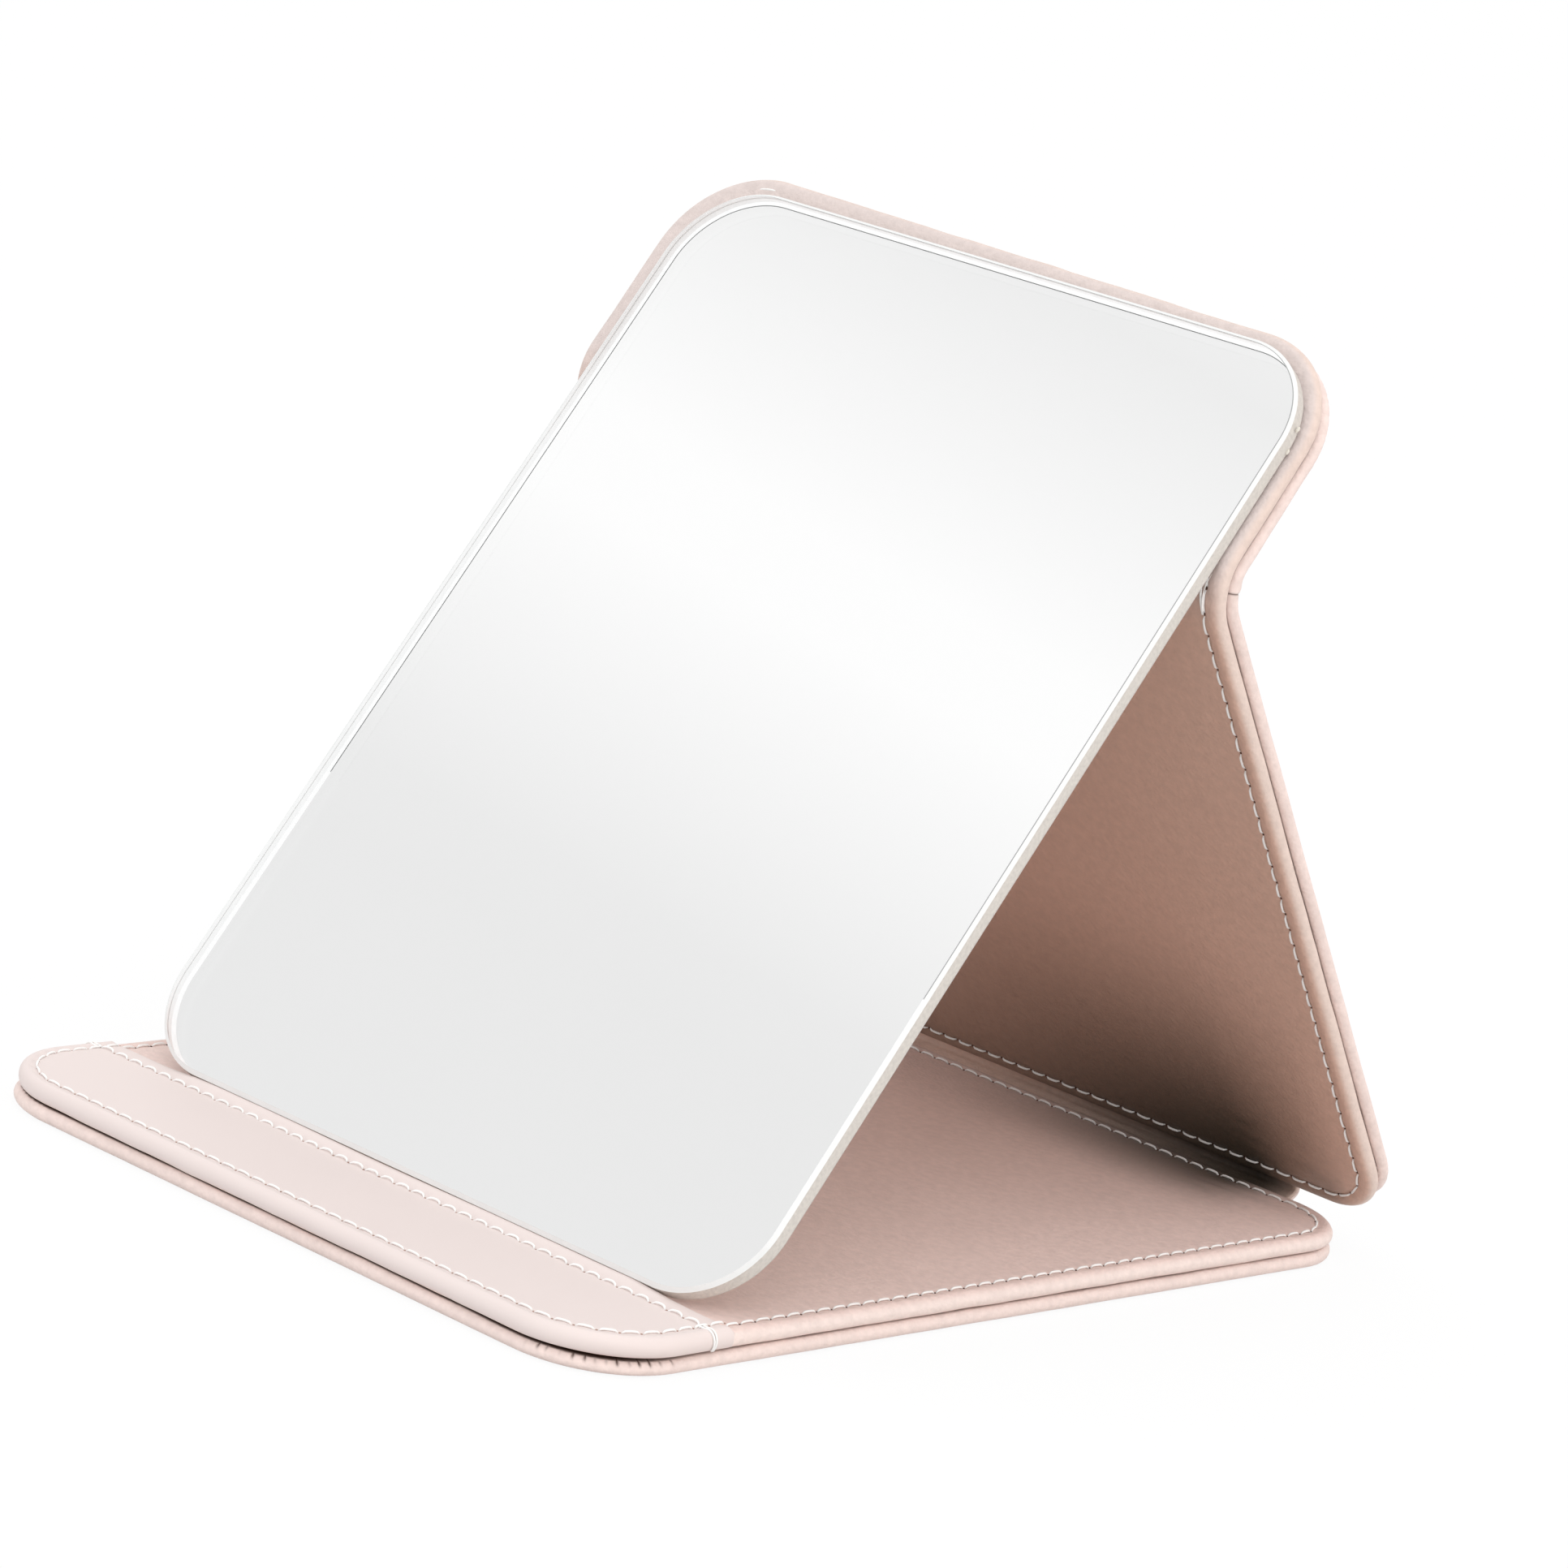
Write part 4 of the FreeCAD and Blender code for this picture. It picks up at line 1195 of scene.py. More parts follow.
def spine_band(name, low, high, finish, seed):
    """One wrinkled band of the spine, between two heights over the spine's line."""
    sizes = sizes_now()
    points, up = spine_line(sizes)
    half = BASE.half_width - sizes.spine_corner - sizes.spine_set_in
    x = np.linspace(-half, half, SPINE_COLUMNS)
    rounding = np.linspace(-90.0, 90.0, SPINE_ROUNDING)[1:-1]
    thickness = high - low
    round_x = half + thickness / 2 * np.cos(np.radians(rounding))
    round_h = low + thickness / 2 * (1 + np.sin(np.radians(rounding)))
    loop_x = np.concatenate([x, round_x, x[::-1], -round_x[::-1]])
    loop_h = np.concatenate([x * 0 + low, round_h, x * 0 + high, round_h[::-1]])
    run = np.linspace(0.0, 1.0, len(points))
    places = np.stack(np.meshgrid(loop_x, run * WRINKLE_RUN), axis=-1)
    lines = ripple(places * np.array([WRINKLE_STRETCH, 1.0]), WRINKLE_LINES, seed)
    waves = WRINKLE_WAVE_SHARE * ripple(places, WRINKLE_WAVES, seed + 1)
    free = np.sin(math.pi * run)[:, None]
    heights = loop_h + sizes.spine_wrinkle * (lines + waves) * free
    rows = points[:, None, :] + up[:, None, :] * heights[:, :, None]
    rows[:, :, 0] += loop_x
    count = len(loop_x)
    faces = ring_faces(len(points), count)
    faces.append(tuple(range(count)))
    faces.append(tuple(range((len(points) - 1) * count, len(points) * count)))
    # The spine leather takes the painted shadow of the fold, darkest towards the right
    shares = {"fold": np.tile(fold_shadow(loop_x, 0.0), len(points))}
    return make_piece(name, rows.reshape(-1, 3), faces, [Finishes.get(finish)], shares=shares)


class MIRROR_CASE_OT_spine(Operator):
    """Make the two leather bands of the spine"""
    bl_idname = "mirror_case.spine"
    bl_label = "Spine Leather"

    def execute(self, context):
        seed = seed_now() + SPINE_SEED
        inner = spine_band("spine_inner_leather", BAND_NEAR, BAND_FAR, "spine_leather", seed)
        outer = spine_band("spine_outer_leather", -BAND_FAR, -BAND_NEAR, "pale_leather", seed + 1)
        base_end = BASE.place((0.0, BASE.length, LAYER))
        rear_end = REAR.place((0.0, 0.0, LAYER))
        for piece, node in ((inner, "spine_inner_band"), (outer, "spine_outer_band")):
            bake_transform(piece)
            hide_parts(node)
        return {"FINISHED"}


def tree_with(name, whole=(), real=()):
    """A new tree that takes geometry, named numbers and a material, and its input and output nodes."""
    tree = bpy.data.node_groups.new(name, "GeometryNodeTree")
    kinds = {"Geometry": "Geometry", **dict.fromkeys(whole, "Int"), **dict.fromkeys(real, "Float")}
    for label, kind in {**kinds, "Material": "Material"}.items():
        tree.interface.new_socket(label, in_out="INPUT", socket_type=f"NodeSocket{kind}")
    tree.interface.new_socket("Geometry", in_out="OUTPUT", socket_type="NodeSocketGeometry")
    return tree, tree.nodes.new("NodeGroupInput").outputs, tree.nodes.new("NodeGroupOutput")


def add_vector(tree, parts):
    """A vector from some of its parts, numbered from 0; the others are 0."""
    return add_node(tree, "ShaderNodeCombineXYZ", parts).outputs[0]


def points_on_path(tree, given):
    """Points at every hole and every stitch middle of a path, with their direction."""
    curve = add_node(tree, "GeometryNodeMeshToCurve", {"Mesh": given["Geometry"]})
    count = add_math(tree, "MULTIPLY_ADD", given["Count"], 2.0, 1.0)
    points = add_node(tree, "GeometryNodeCurveToPoints", {"Curve": curve.outputs[0], "Count": count})
    turn = add_node(
        tree, "FunctionNodeAlignRotationToVector", {"Vector": points.outputs["Tangent"]},
        axis="X", pivot_axis="Z")
    odd = add_math(tree, "MODULO", add_node(tree, "GeometryNodeInputIndex").outputs[0], 2.0)
    return points.outputs["Points"], turn.outputs[0], odd


def close_tree(tree, geometry, given, end):
    """Finish a tree: real faces, smooth shading and the material."""
    real = add_node(tree, "GeometryNodeRealizeInstances", {"Geometry": geometry})
    soft = add_node(tree, "GeometryNodeSetShadeSmooth", {"Geometry": real.outputs[0]})
    dressed = add_node(
        tree, "GeometryNodeSetMaterial", {"Geometry": soft.outputs[0], "Material": given["Material"]})
    tree.links.new(dressed.outputs[0], end.inputs["Geometry"])


def stitch_tree():
    """Tree that sews a path: one arched thread between every two needle holes."""
    tree, given, end = tree_with(
        "stitches", whole=("Count", "Seed"), real=("Length", "Width", "Sink", "Rise", "Bow", "Wander"))
    points, turn, odd = points_on_path(tree, given)
    half = add_math(tree, "MULTIPLY", given["Length"], 0.5)
    first = add_vector(tree, {0: add_math(tree, "MULTIPLY", half, -1.0)})
    last = add_vector(tree, {0: half})
    straight = add_node(tree, "GeometryNodeCurvePrimitiveLine", {"Start": first, "End": last})
    parted = add_node(
        tree, "GeometryNodeResampleCurve", {"Curve": straight.outputs[0], "Count": STITCH_PARTS})
    share = add_node(tree, "GeometryNodeSplineParameter").outputs["Factor"]
    rest = add_math(tree, "SUBTRACT", 1.0, share)
    hill = add_math(tree, "MULTIPLY", add_math(tree, "MULTIPLY", share, rest), 4.0)
    arch = add_math(tree, "POWER", hill, ARCH_POWER)
    climb = add_math(tree, "MULTIPLY", arch, add_math(tree, "ADD", given["Rise"], given["Sink"]))
    height = add_math(tree, "SUBTRACT", climb, given["Sink"])
    sideways = add_math(tree, "MULTIPLY", hill, given["Bow"])
    offset = add_vector(tree, {1: sideways, 2: height})
    arched = add_node(tree, "GeometryNodeSetPosition", {"Geometry": parted.outputs[0], "Offset": offset})
    profile = add_node(
        tree, "GeometryNodeCurvePrimitiveCircle",
        {"Resolution": STITCH_SIDES, "Radius": add_math(tree, "MULTIPLY", given["Width"], 0.5)})
    taper = add_math(tree, "MULTIPLY_ADD", arch, THREAD_TAPER, 1 - THREAD_TAPER)
    thread = add_node(
        tree, "GeometryNodeCurveToMesh",
        {"Curve": arched.outputs[0], "Profile Curve": profile.outputs[0], "Scale": taper, "Fill Caps": True})
    sewn = add_node(
        tree, "GeometryNodeInstanceOnPoints",
        {"Points": points, "Selection": odd, "Instance": thread.outputs[0], "Rotation": turn})
    back = add_math(tree, "MULTIPLY", given["Wander"], -1.0)
    chance = add_node(tree, "FunctionNodeRandomValue", {2: back, 3: given["Wander"], "Seed": given["Seed"]})
    twist = add_vector(tree, {2: chance.outputs[1]})
    turned = add_node(tree, "GeometryNodeRotateInstances", {"Instances": sewn.outputs[0], "Rotation": twist})
    close_tree(tree, turned.outputs[0], given, end)
    return tree


def hole_tree():
    """Tree that pricks a path: one shallow dark dimple at every needle hole."""
    tree, given, end = tree_with("needle_holes", whole=("Count",), real=("Width", "Depth"))
    points, turn, odd = points_on_path(tree, given)
    radius = add_math(tree, "MULTIPLY", given["Width"], 0.5)
    ball = add_node(
        tree, "GeometryNodeMeshUVSphere", {"Segments": HOLE_SEGMENTS, "Rings": HOLE_RINGS, "Radius": radius})
    squash = add_vector(tree, {0: 1.0, 1: 1.0, 2: add_math(tree, "DIVIDE", given["Depth"], given["Width"])})
    even = add_math(tree, "SUBTRACT", 1.0, odd)
    pricked = add_node(
        tree, "GeometryNodeInstanceOnPoints",
        {"Points": points, "Selection": even, "Instance": ball.outputs[0], "Rotation": turn, "Scale": squash})
    close_tree(tree, pricked.outputs[0], given, end)
    return tree


def follow_path(name, path, tree, values):
    """Flat mesh that a node tree makes along a path."""
    mesh = bpy.data.meshes.new(name)
    mesh.from_pydata(path.tolist(), [(at, at + 1) for at in range(len(path) - 1)], [])
    piece = bpy.data.objects.new(name, mesh)
    bpy.context.scene.collection.objects.link(piece)
    modifier = piece.modifiers.new(tree.name, "NODES")
    modifier.node_group = tree
    for socket in tree.interface.items_tree:
        if socket.in_out == "INPUT" and socket.name in values:
            modifier[socket.identifier] = values[socket.name]
    seen = piece.evaluated_get(bpy.context.evaluated_depsgraph_get())
    made = bpy.data.meshes.new_from_object(seen)
    piece.modifiers.remove(modifier)
    piece.data = made
    made.name = name
    return piece


def lay_on(piece, place, side, height):
    """Carry a flat piece onto one face of a panel."""
    mesh = piece.data
    flat = np.empty(len(mesh.vertices) * 3, dtype=np.float32)
    mesh.vertices.foreach_get("co", flat)
    flat = flat.reshape(-1, 3).astype(float)
    flat[:, 2] = LAYER + side * (height + flat[:, 2])
    mesh.vertices.foreach_set("co", place(flat).astype(np.float32).ravel())
    finish_mesh(mesh)
    return piece


def sew(name, path, count, place, side, height, bow=0.0, furrow=None, hole="needle_hole"):
    """One row of stitches and the row of its needle holes."""
    sizes = sizes_now()
    threads = bpy.data.node_groups.get("stitches") or stitch_tree()
    pricks = bpy.data.node_groups.get("needle_holes") or hole_tree()
    row = follow_path(f"{name}_stitches", path, threads, {
        "Count": count, "Length": sizes.stitch_length, "Width": sizes.thread_width,
        "Sink": sizes.thread_width * THREAD_SINK, "Rise": sizes.thread_width * THREAD_RISE, "Bow": bow,
        "Wander": THREAD_WANDER, "Seed": seed_now(), "Material": Finishes.get("sewing_thread")})
    holes = follow_path(f"{name}_needle_holes", path, pricks, {
        "Count": count, "Width": sizes.thread_width * HOLE_WIDTH, "Depth": sizes.thread_width * HOLE_DEPTH,
        "Material": Finishes.get(hole)})
    bottom = height - (sizes.furrow_depth * FURROW_SHARE if furrow is None else furrow)
    lay_on(row, place, side, bottom + sizes.thread_width * THREAD_SINK)
    lay_on(holes, place, side, bottom)
    return row, holes


def tube(path, radii, beside, sides=TUBE_SIDES):
    """Points and faces of a closed round tube along a path that never takes the direction beside."""
    path = np.asarray(path, dtype=float)
    along = np.gradient(path, axis=0)
    along /= np.linalg.norm(along, axis=1)[:, None]
    first = np.cross(along, beside)
    first /= np.linalg.norm(first, axis=1)[:, None]
    second = np.cross(along, first)
    angles = np.linspace(0.0, 2 * math.pi, sides, endpoint=False)[:, None]
    spread = np.reshape(radii, (-1, 1, 1))
    rings = path[:, None] + spread * (np.cos(angles) * first[:, None] + np.sin(angles) * second[:, None])
    faces = ring_faces(len(path), sides)
    faces.append(tuple(range(sides)))
    faces.append(tuple(range((len(path) - 1) * sides, len(path) * sides)))
    return rings.reshape(-1, 3), faces


def tube_piece(name, tubes, place, finish):
    """One piece made of several tubes drawn flat."""
    points = np.empty((0, 3))
    faces = []
    for flat, sides in tubes:
        faces += [tuple(len(points) + corner for corner in side) for side in sides]
        points = np.vstack([points, flat])
    piece = make_piece(name, place(points), faces, [Finishes.get(finish)])
    return piece


def wrap_path(sizes, side, seam_y, shift):
    """Flat path of a thread from the end of the seam over the rolled edge into the groove."""
    radius = sizes.thread_width / 2
    thickness = LAYER + STRIP_RISE
    middle = BASE.half_width + sizes.strip_overhang - sizes.edge_roll
    hole = BASE.half_width - sizes.stitch_inset
    angles = np.radians(np.linspace(*WRAP_TURN, WRAP_PARTS))
    straight = np.linspace(hole, middle, WRAP_START_PARTS)[:-1]
    reach = np.concatenate([straight, middle + (sizes.edge_roll + radius) * np.cos(angles)])
    rise = thickness / 2 * (1 + np.sin(angles)) + radius * np.sin(angles)
    height = LAYER + np.concatenate([np.full(len(straight), thickness + radius * WRAP_RISE), rise])
    height[0] -= 2 * radius
    apart = np.linspace(1.0, WRAP_CLOSE, len(reach))
    return np.column_stack([side * reach, seam_y + shift * apart, height])


class MIRROR_CASE_OT_base_stitching(Operator):
    """Sew the base: round its edge, round the strip's front edge and along the strip's seam"""
    bl_idname = "mirror_case.base_stitching"
    bl_label = "Base Stitching"

    def execute(self, context):
        sizes = sizes_now()
        line = edge_line(base_outline(sizes), sizes)
        edge_x = BASE.half_width - sizes.stitch_inset
        right = line.hole_near((edge_x, STRIP_DEPTH))
        left = line.hole_near((-edge_x, STRIP_DEPTH))
        strip_height = LAYER + STRIP_RISE
        seam_y = STRIP_DEPTH - sizes.strip_seam
        seam_count = round(2 * edge_x / sizes.stitch_pitch)
        seam_x = np.linspace(edge_x, -edge_x, seam_count * SEAM_PARTS + 1)
        seam = np.array([(x, seam_y, 0.0) for x in seam_x])
        around = line.run(right, left)
        front = line.run(left, line.count + right)
        rows = (
            ("base_edge", around, left - right, LAYER, 0.0, None, "needle_hole", "base_edge_stitching"),
            ("strip_edge", front, line.count + right - left, strip_height, 0.0, None, "pale_hole",
             "strip_edge_stitching"),
            ("strip_seam", seam, seam_count, strip_height, -sizes.seam_bow, 0.0, "pale_hole",
             "strip_seam_stitching"),
        )
        for name, path, count, height, bow, furrow, hole, node in rows:
            row, holes = sew(name, path, count, BASE.place, INNER_SIDE, height, bow, furrow, hole)
            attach(row, "base")
            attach(holes, "base")
            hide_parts(node)
        self.wrap_ends(sizes, seam_y)
        return {"FINISHED"}

    def wrap_ends(self, sizes, seam_y):
        """Two threads at each end of the seam, wrapped over the rolled edge."""
        tubes = []
        for side in (1, -1):
            for shift in (-WRAP_APART, WRAP_APART):
                path = wrap_path(sizes, side, seam_y, shift)
                radii = np.full(len(path), sizes.thread_width * WRAP_WIDTH)
                tubes.append(tube(path, radii, (0.0, 1.0, 0.0)))
        wraps = tube_piece("strip_wrap_threads", tubes, BASE.place, "sewing_thread")
        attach(wraps, "base")


class MIRROR_CASE_OT_back_stitching(Operator):
    """Sew round the edge of the back, on its inner and its outer face"""
    bl_idname = "mirror_case.back_stitching"
    bl_label = "Back Stitching"

    def execute(self, context):
        sizes = sizes_now()
        outline = back_outline(sizes)
        inside = lining_line(outline, sizes)
        outside = edge_line(outline, sizes)
        inner = sew("back_inner", inside.run(0, inside.count), inside.count, BACK.place, INNER_SIDE, LAYER)
        outer = sew("back_outer", outside.run(0, outside.count), outside.count, BACK.place, OUTER_SIDE, LAYER)
        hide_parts("rear_edge_stitching", "upper_edge_stitching")
        for piece in (*inner, *outer, self.loose_threads(sizes)):
            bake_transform(piece)
        return {"FINISHED"}

    def loose_threads(self, sizes):
        """Frayed thread beside the crease on the right, and the one stitch that shows at the top left."""
        tubes = [*self.frayed_end(sizes), self.single_stitch(sizes)]
        return tube_piece("loose_threads", tubes, BACK.place, "sewing_thread")

    def frayed_end(self, sizes):
        """Strands of a thread that has come apart."""
        chance = np.random.default_rng(seed_now())
        edge = BACK.half_width - sizes.stitch_inset
        run = np.linspace(0.0, 1.0, LOOSE_PARTS)
        radii = FRAY_RADIUS * (1.0 - FRAY_TAPER * run)
        strands = []
        for _ in range(FRAY_STRANDS):
            spread = chance.uniform(*FRAY_SPREAD)
            reach = chance.uniform(*FRAY_REACH)
            x = edge + spread * run ** FRAY_CURL + chance.uniform(-FRAY_APART, FRAY_APART)
            y = REAR.length + FRAY_START + reach * run
            z = BACK.thickness + FRAY_LIFT + chance.uniform(*FRAY_ARCH) * np.sin(math.pi * run)
            strands.append(tube(np.column_stack([x, y, z]), radii, (0.0, 0.0, 1.0), sides=STITCH_SIDES))
        return strands

    def single_stitch(self, sizes):
        """One stitch that follows the rounding of the top left corner."""
        run = np.linspace(0.0, 1.0, LOOSE_PARTS)
        angles = np.radians(np.linspace(*SINGLE_TURN, LOOSE_PARTS))
        reach = sizes.top_corner - SINGLE_INSET
        x = sizes.top_corner - BACK.half_width + reach * np.cos(angles)
        y = BACK.length - sizes.top_corner + reach * np.sin(angles)
        z = BACK.thickness - SINGLE_SINK + SINGLE_ARCH * np.sin(math.pi * run)
        radii = np.full(LOOSE_PARTS, sizes.thread_width / 2)
        return tube(np.column_stack([x, y, z]), radii, (0.0, 0.0, 1.0))


def plate(name, outline, profile, walls, materials):
    """Closed plate in the upper panel's place, from rings of inset and height, back face first."""
    middle = outline.spine_points(FAN_REACH)
    fill = np.linspace(0.0, 1.0, PLATE_RINGS + 1)[1:]
    back = outline.inset(profile[0][0])
    front = outline.inset(profile[-1][0])
    rings = [(back + (middle - back) * share, profile[0][1]) for share in fill[::-1]]
    rings += [(outline.inset(inset), rise) for inset, rise in profile]
    rings += [(front + (middle - front) * share, profile[-1][1]) for share in fill]
    flat = np.vstack([np.column_stack([ring, np.full(len(ring), rise)]) for ring, rise in rings])
    count = len(outline.points)
    kinds = [0] * len(fill) + list(walls) + [0] * len(fill)
    kinds = np.concatenate([np.broadcast_to(kind, count) for kind in kinds])
    finishes = [Finishes.get(kind) for kind in materials]
    return make_piece(
        name, UPPER.place(flat), ring_faces(len(rings), count), finishes, bands=kinds.astype(np.int32),
        sharp=PLATE_EDGE)


class MIRROR_CASE_OT_glass(Operator):
    """Make the mirror glass with its bevel and ground wall, and the silvering behind it"""
    bl_idname = "mirror_case.glass"
    bl_label = "Mirror Glass"

    def execute(self, context):
        sizes = sizes_now()
        low, high = UPPER.span("mirror_glass")
        bevel = sizes.glass_bevel
        back = low[2]
        front = high[2]
        wall = front - bevel * BEVEL_SLOPE
        line = bevel - sizes.bevel_line
        half = (high[0] - low[0]) / 2
        corner = sizes.glass_corner
        outline = Outline(half, low[1], high[1], corner, corner, GLASS_STEP, GLASS_CORNER_STEP)
        outline.shift((low[0] + high[0]) / 2)
        near_front = wall + (front - wall) * line / bevel
        profile = (
            (BACK_BEVEL, back), (0.0, back + BACK_BEVEL), (0.0, wall), (line, near_front), (bevel, front))
        finishes = ("clear_glass", "ground_edge", "polished_bevel", "bevel_line")
        ground = finishes.index("ground_edge")
        polished = finishes.index("polished_bevel")
        # The bevel's painted dark line is left off along the bottom edge
        lined = np.where(outline.points[:, 1] > low[1] + LINE_START, finishes.index("bevel_line"), polished)
        glass = plate("mirror_glass_pane", outline, profile, (ground, ground, polished, lined), finishes)
        coat = sizes.silver_coat
        inset = sizes.silver_inset
        sheet = ((inset, back + coat), (inset, back + 2 * coat))
        silver = plate("mirror_silvering", outline, sheet, (0,), ("silvered_face",))
        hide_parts("mirror_glass")
        for piece in (glass, silver):
            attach(piece, "mirror_panel")
        self.add_beads(high[0], back)
        return {"FINISHED"}

    def add_beads(self, side, back):
        """Two beads of glue pressed out beside the right wall of the glass."""
        run = np.linspace(-BEAD_END, BEAD_END, LOOSE_PARTS)
        radii = BEAD_RADIUS * np.sqrt(1 - run * run)
        tubes = []
        for y, lift in BEADS:
            path = np.column_stack([run * 0 + side + BEAD_OUT, y + BEAD_REACH * run, run * 0 + back + lift])
            tubes.append(tube(path, radii, (0.0, 0.0, 1.0), sides=BEAD_SIDES))
        beads = tube_piece("glue_beads", tubes, UPPER.place, "clear_glue")
        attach(beads, "mirror_panel")


class MIRROR_CASE_OT_inside(Operator):
    """Finish the pieces of the frame that stay as they are: boards, film and adhesive"""
    bl_idname = "mirror_case.inside"
    bl_label = "Boards, Film and Adhesive"

    def execute(self, context):
        finishes = {"mirror_backing": "backing_film", "mirror_adhesive": "clear_glue"}
        for panel in ("base", "rear", "upper"):
            for kind in ("outer_board", "core_sheet", "inner_board"):
                finishes[f"{panel}_{kind}"] = "grey_card"
        for node, finish in finishes.items():
            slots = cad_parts[node].data.materials
            slots.clear()
            slots.append(Finishes.get(finish))
        return {"FINISHED"}


class MIRROR_CASE_OT_stage(Operator):
    """Set up the white floor, the soft light and the camera"""
    bl_idname = "mirror_case.stage"
    bl_label = "Studio"

    def execute(self, context):
        scene = context.scene
        scene.view_settings.view_transform = "Standard"
        self.add_floor(scene)
        self.add_sky(scene)
        for name, width, place, tint in LAMPS:
            self.add_lamp(scene, name, width, place, tint)
        self.add_camera(scene)
        return {"FINISHED"}

    def bounced_rays(self, tree, path):
        """1 for the rays that come by way of the mirror or through the glass."""
        return add_math(tree, "MAXIMUM", path["Is Glossy Ray"], path["Is Transmission Ray"])

    def add_floor(self, scene):
        """Wide white floor that keeps the object's shadow."""
        mesh = bpy.data.meshes.new("floor")
        signs = ((-1, -1), (1, -1), (1, 1), (-1, 1))
        corners = [(x * FLOOR_REACH, y * FLOOR_REACH, FLOOR_LEVEL) for x, y in signs]
        mesh.from_pydata(corners, [], [(0, 1, 2, 3)])
        material = bpy.data.materials.new("white_floor")
        material.use_nodes = True
        tree = material.node_tree
        tree.nodes.clear()
        paint = add_node(tree, "ShaderNodeBsdfDiffuse", {"Color": FLOOR_PAINT})
        white = add_node(tree, "ShaderNodeEmission", {"Color": WHITE, "Strength": FLOOR_GLOW})
        path = add_node(tree, "ShaderNodeLightPath").outputs
        seen = add_math(tree, "MAXIMUM", path["Is Camera Ray"], self.bounced_rays(tree, path))
        share = add_math(tree, "MULTIPLY", seen, scene.mirror_case_stage.floor_white)
        mixed = add_node(tree, "ShaderNodeMixShader", {0: share, 1: paint.outputs[0], 2: white.outputs[0]})
        add_node(tree, "ShaderNodeOutputMaterial", {"Surface": mixed.outputs[0]})
        mesh.materials.append(material)
        floor = bpy.data.objects.new("floor", mesh)
        scene.collection.objects.link(floor)

    def add_sky(self, scene):
        """Even light all round; the mirror sees a white panel that fades to grey above and below."""
        world = bpy.data.worlds.new("studio")
        scene.world = world
        world.use_nodes = True
        tree = world.node_tree
        tree.nodes.clear()
        stage = scene.mirror_case_stage
        path = add_node(tree, "ShaderNodeLightPath").outputs
        direction = add_node(tree, "ShaderNodeTexCoord").outputs["Generated"]
        height = add_node(
            tree, "ShaderNodeVectorMath", {0: direction, 1: PANEL_AXIS}, operation="DOT_PRODUCT")
        low, high = PANEL_SPAN
        share = add_range(tree, height.outputs["Value"], 0.0, 1.0, start=low, end=high)
        ramp = add_node(tree, "ShaderNodeValToRGB", {0: share})
        while len(ramp.color_ramp.elements) < len(PANEL_GREYS):
            ramp.color_ramp.elements.new(0.5)
        for element, (place, grey) in zip(ramp.color_ramp.elements, PANEL_GREYS):
            element.position = place
            element.color = (grey, grey, grey, 1.0)
        bounced = self.bounced_rays(tree, path)
        rise = add_node(tree, "ShaderNodeSeparateXYZ", {0: direction}).outputs["Z"]
        strength = add_range(tree, rise, stage.horizon, stage.zenith)
        even = add_node(tree, "ShaderNodeBackground", {"Color": WHITE, "Strength": strength})
        white = add_node(tree, "ShaderNodeBackground", {"Color": WHITE, "Strength": 1.0})
        panel = add_node(tree, "ShaderNodeBackground", {"Color": ramp.outputs[0], "Strength": 1.0})
        lit = add_node(tree, "ShaderNodeMixShader", {0: bounced, 1: even.outputs[0], 2: panel.outputs[0]})
        all_round = add_node(
            tree, "ShaderNodeMixShader", {0: path["Is Camera Ray"], 1: lit.outputs[0], 2: white.outputs[0]})
        add_node(tree, "ShaderNodeOutputWorld", {"Surface": all_round.outputs[0]})

    def add_lamp(self, scene, name, width, place, tint):
        """Large soft round lamp that shines on the case, with the power that its setting gives."""
        lamp = bpy.data.lights.new(name, "AREA")
        lamp.energy = getattr(scene.mirror_case_stage, name)
        lamp.color = tint
        lamp.shape = "DISK"
        lamp.size = width
        holder = bpy.data.objects.new(name, lamp)
        holder.location = place
        aim = Vector(LAMP_AIM) - holder.location
        holder.rotation_euler = aim.to_track_quat("-Z", "Y").to_euler()
        scene.collection.objects.link(holder)

    def add_camera(self, scene):
        """Camera at the angle of the reference view."""
        stage = scene.mirror_case_stage
        data = bpy.data.cameras.new("camera")
        data.lens = stage.lens
        data.sensor_width = SENSOR_WIDTH
        data.clip_end = VIEW_END
        camera = bpy.data.objects.new("camera", data)
        flat = math.cos(stage.camera_elevation)
        back = Vector((
            math.sin(stage.camera_azimuth) * flat, -math.cos(stage.camera_azimuth) * flat,
            math.sin(stage.camera_elevation)))
        level = back.to_track_quat("Z", "Y")
        roll = Quaternion((0.0, 0.0, 1.0), stage.camera_roll)
        camera.location = stage.camera_place
        camera.rotation_euler = (level @ roll).to_euler()
        scene.collection.objects.link(camera)
        scene.camera = camera


STEPS = (
    MIRROR_CASE_OT_base_leather,
    MIRROR_CASE_OT_front_strip,
    MIRROR_CASE_OT_back_leather,
    MIRROR_CASE_OT_spine,
    MIRROR_CASE_OT_base_stitching,
    MIRROR_CASE_OT_back_stitching,
    MIRROR_CASE_OT_glass,
    MIRROR_CASE_OT_inside,
    MIRROR_CASE_OT_stage,
)


class MIRROR_CASE_PT_steps(Panel):
    """Steps of the mirror case, in order"""
    bl_idname = "MIRROR_CASE_PT_steps"
    bl_label = "Mirror Case"
    bl_space_type = "VIEW_3D"
    bl_region_type = "UI"
    bl_category = "Mirror Case"

    def draw(self, context):
        for step in STEPS:
            self.layout.operator(step.bl_idname)


GROUPS = (
    ("mirror_case_sizes", MirrorCaseSizes),
    ("mirror_case_colours", MirrorCaseColours),
    ("mirror_case_stage", MirrorCaseStage),
)


def register():
    for name, group in GROUPS:
        bpy.utils.register_class(group)
        setattr(bpy.types.Scene, name, PointerProperty(type=group))
    for step in (*STEPS, MIRROR_CASE_PT_steps):
        bpy.utils.register_class(step)


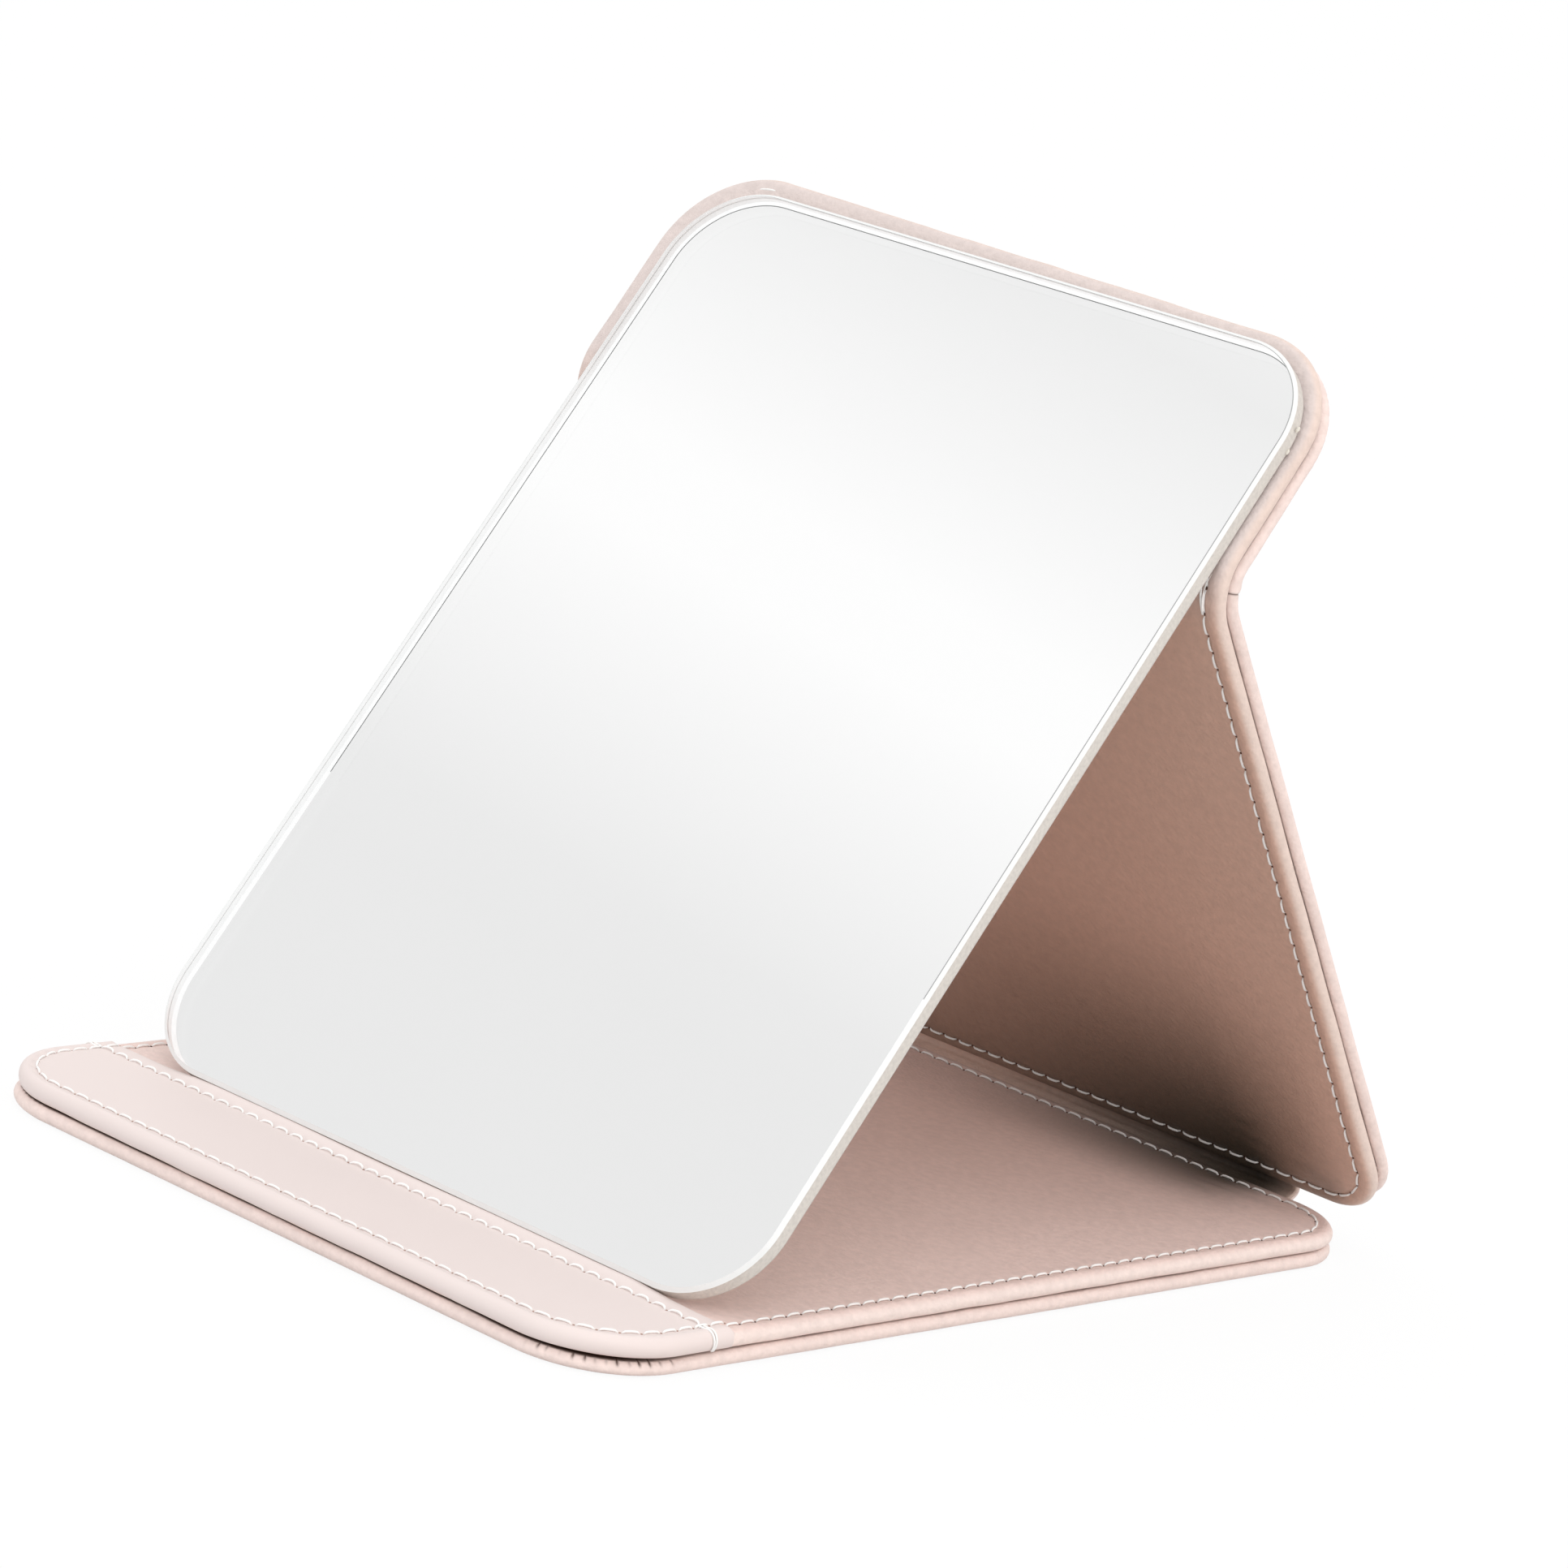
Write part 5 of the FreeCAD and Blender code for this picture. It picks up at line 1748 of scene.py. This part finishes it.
def unregister():
    for step in (MIRROR_CASE_PT_steps, *reversed(STEPS)):
        bpy.utils.unregister_class(step)
    for name, group in reversed(GROUPS):
        delattr(bpy.types.Scene, name)
        bpy.utils.unregister_class(group)


def main():
    """Dress the frame step by step."""
    register()
    for step in STEPS:
        call = step.bl_idname.split(".")[1]
        getattr(bpy.ops.mirror_case, call)()


if __name__ == "__main__":
    main()
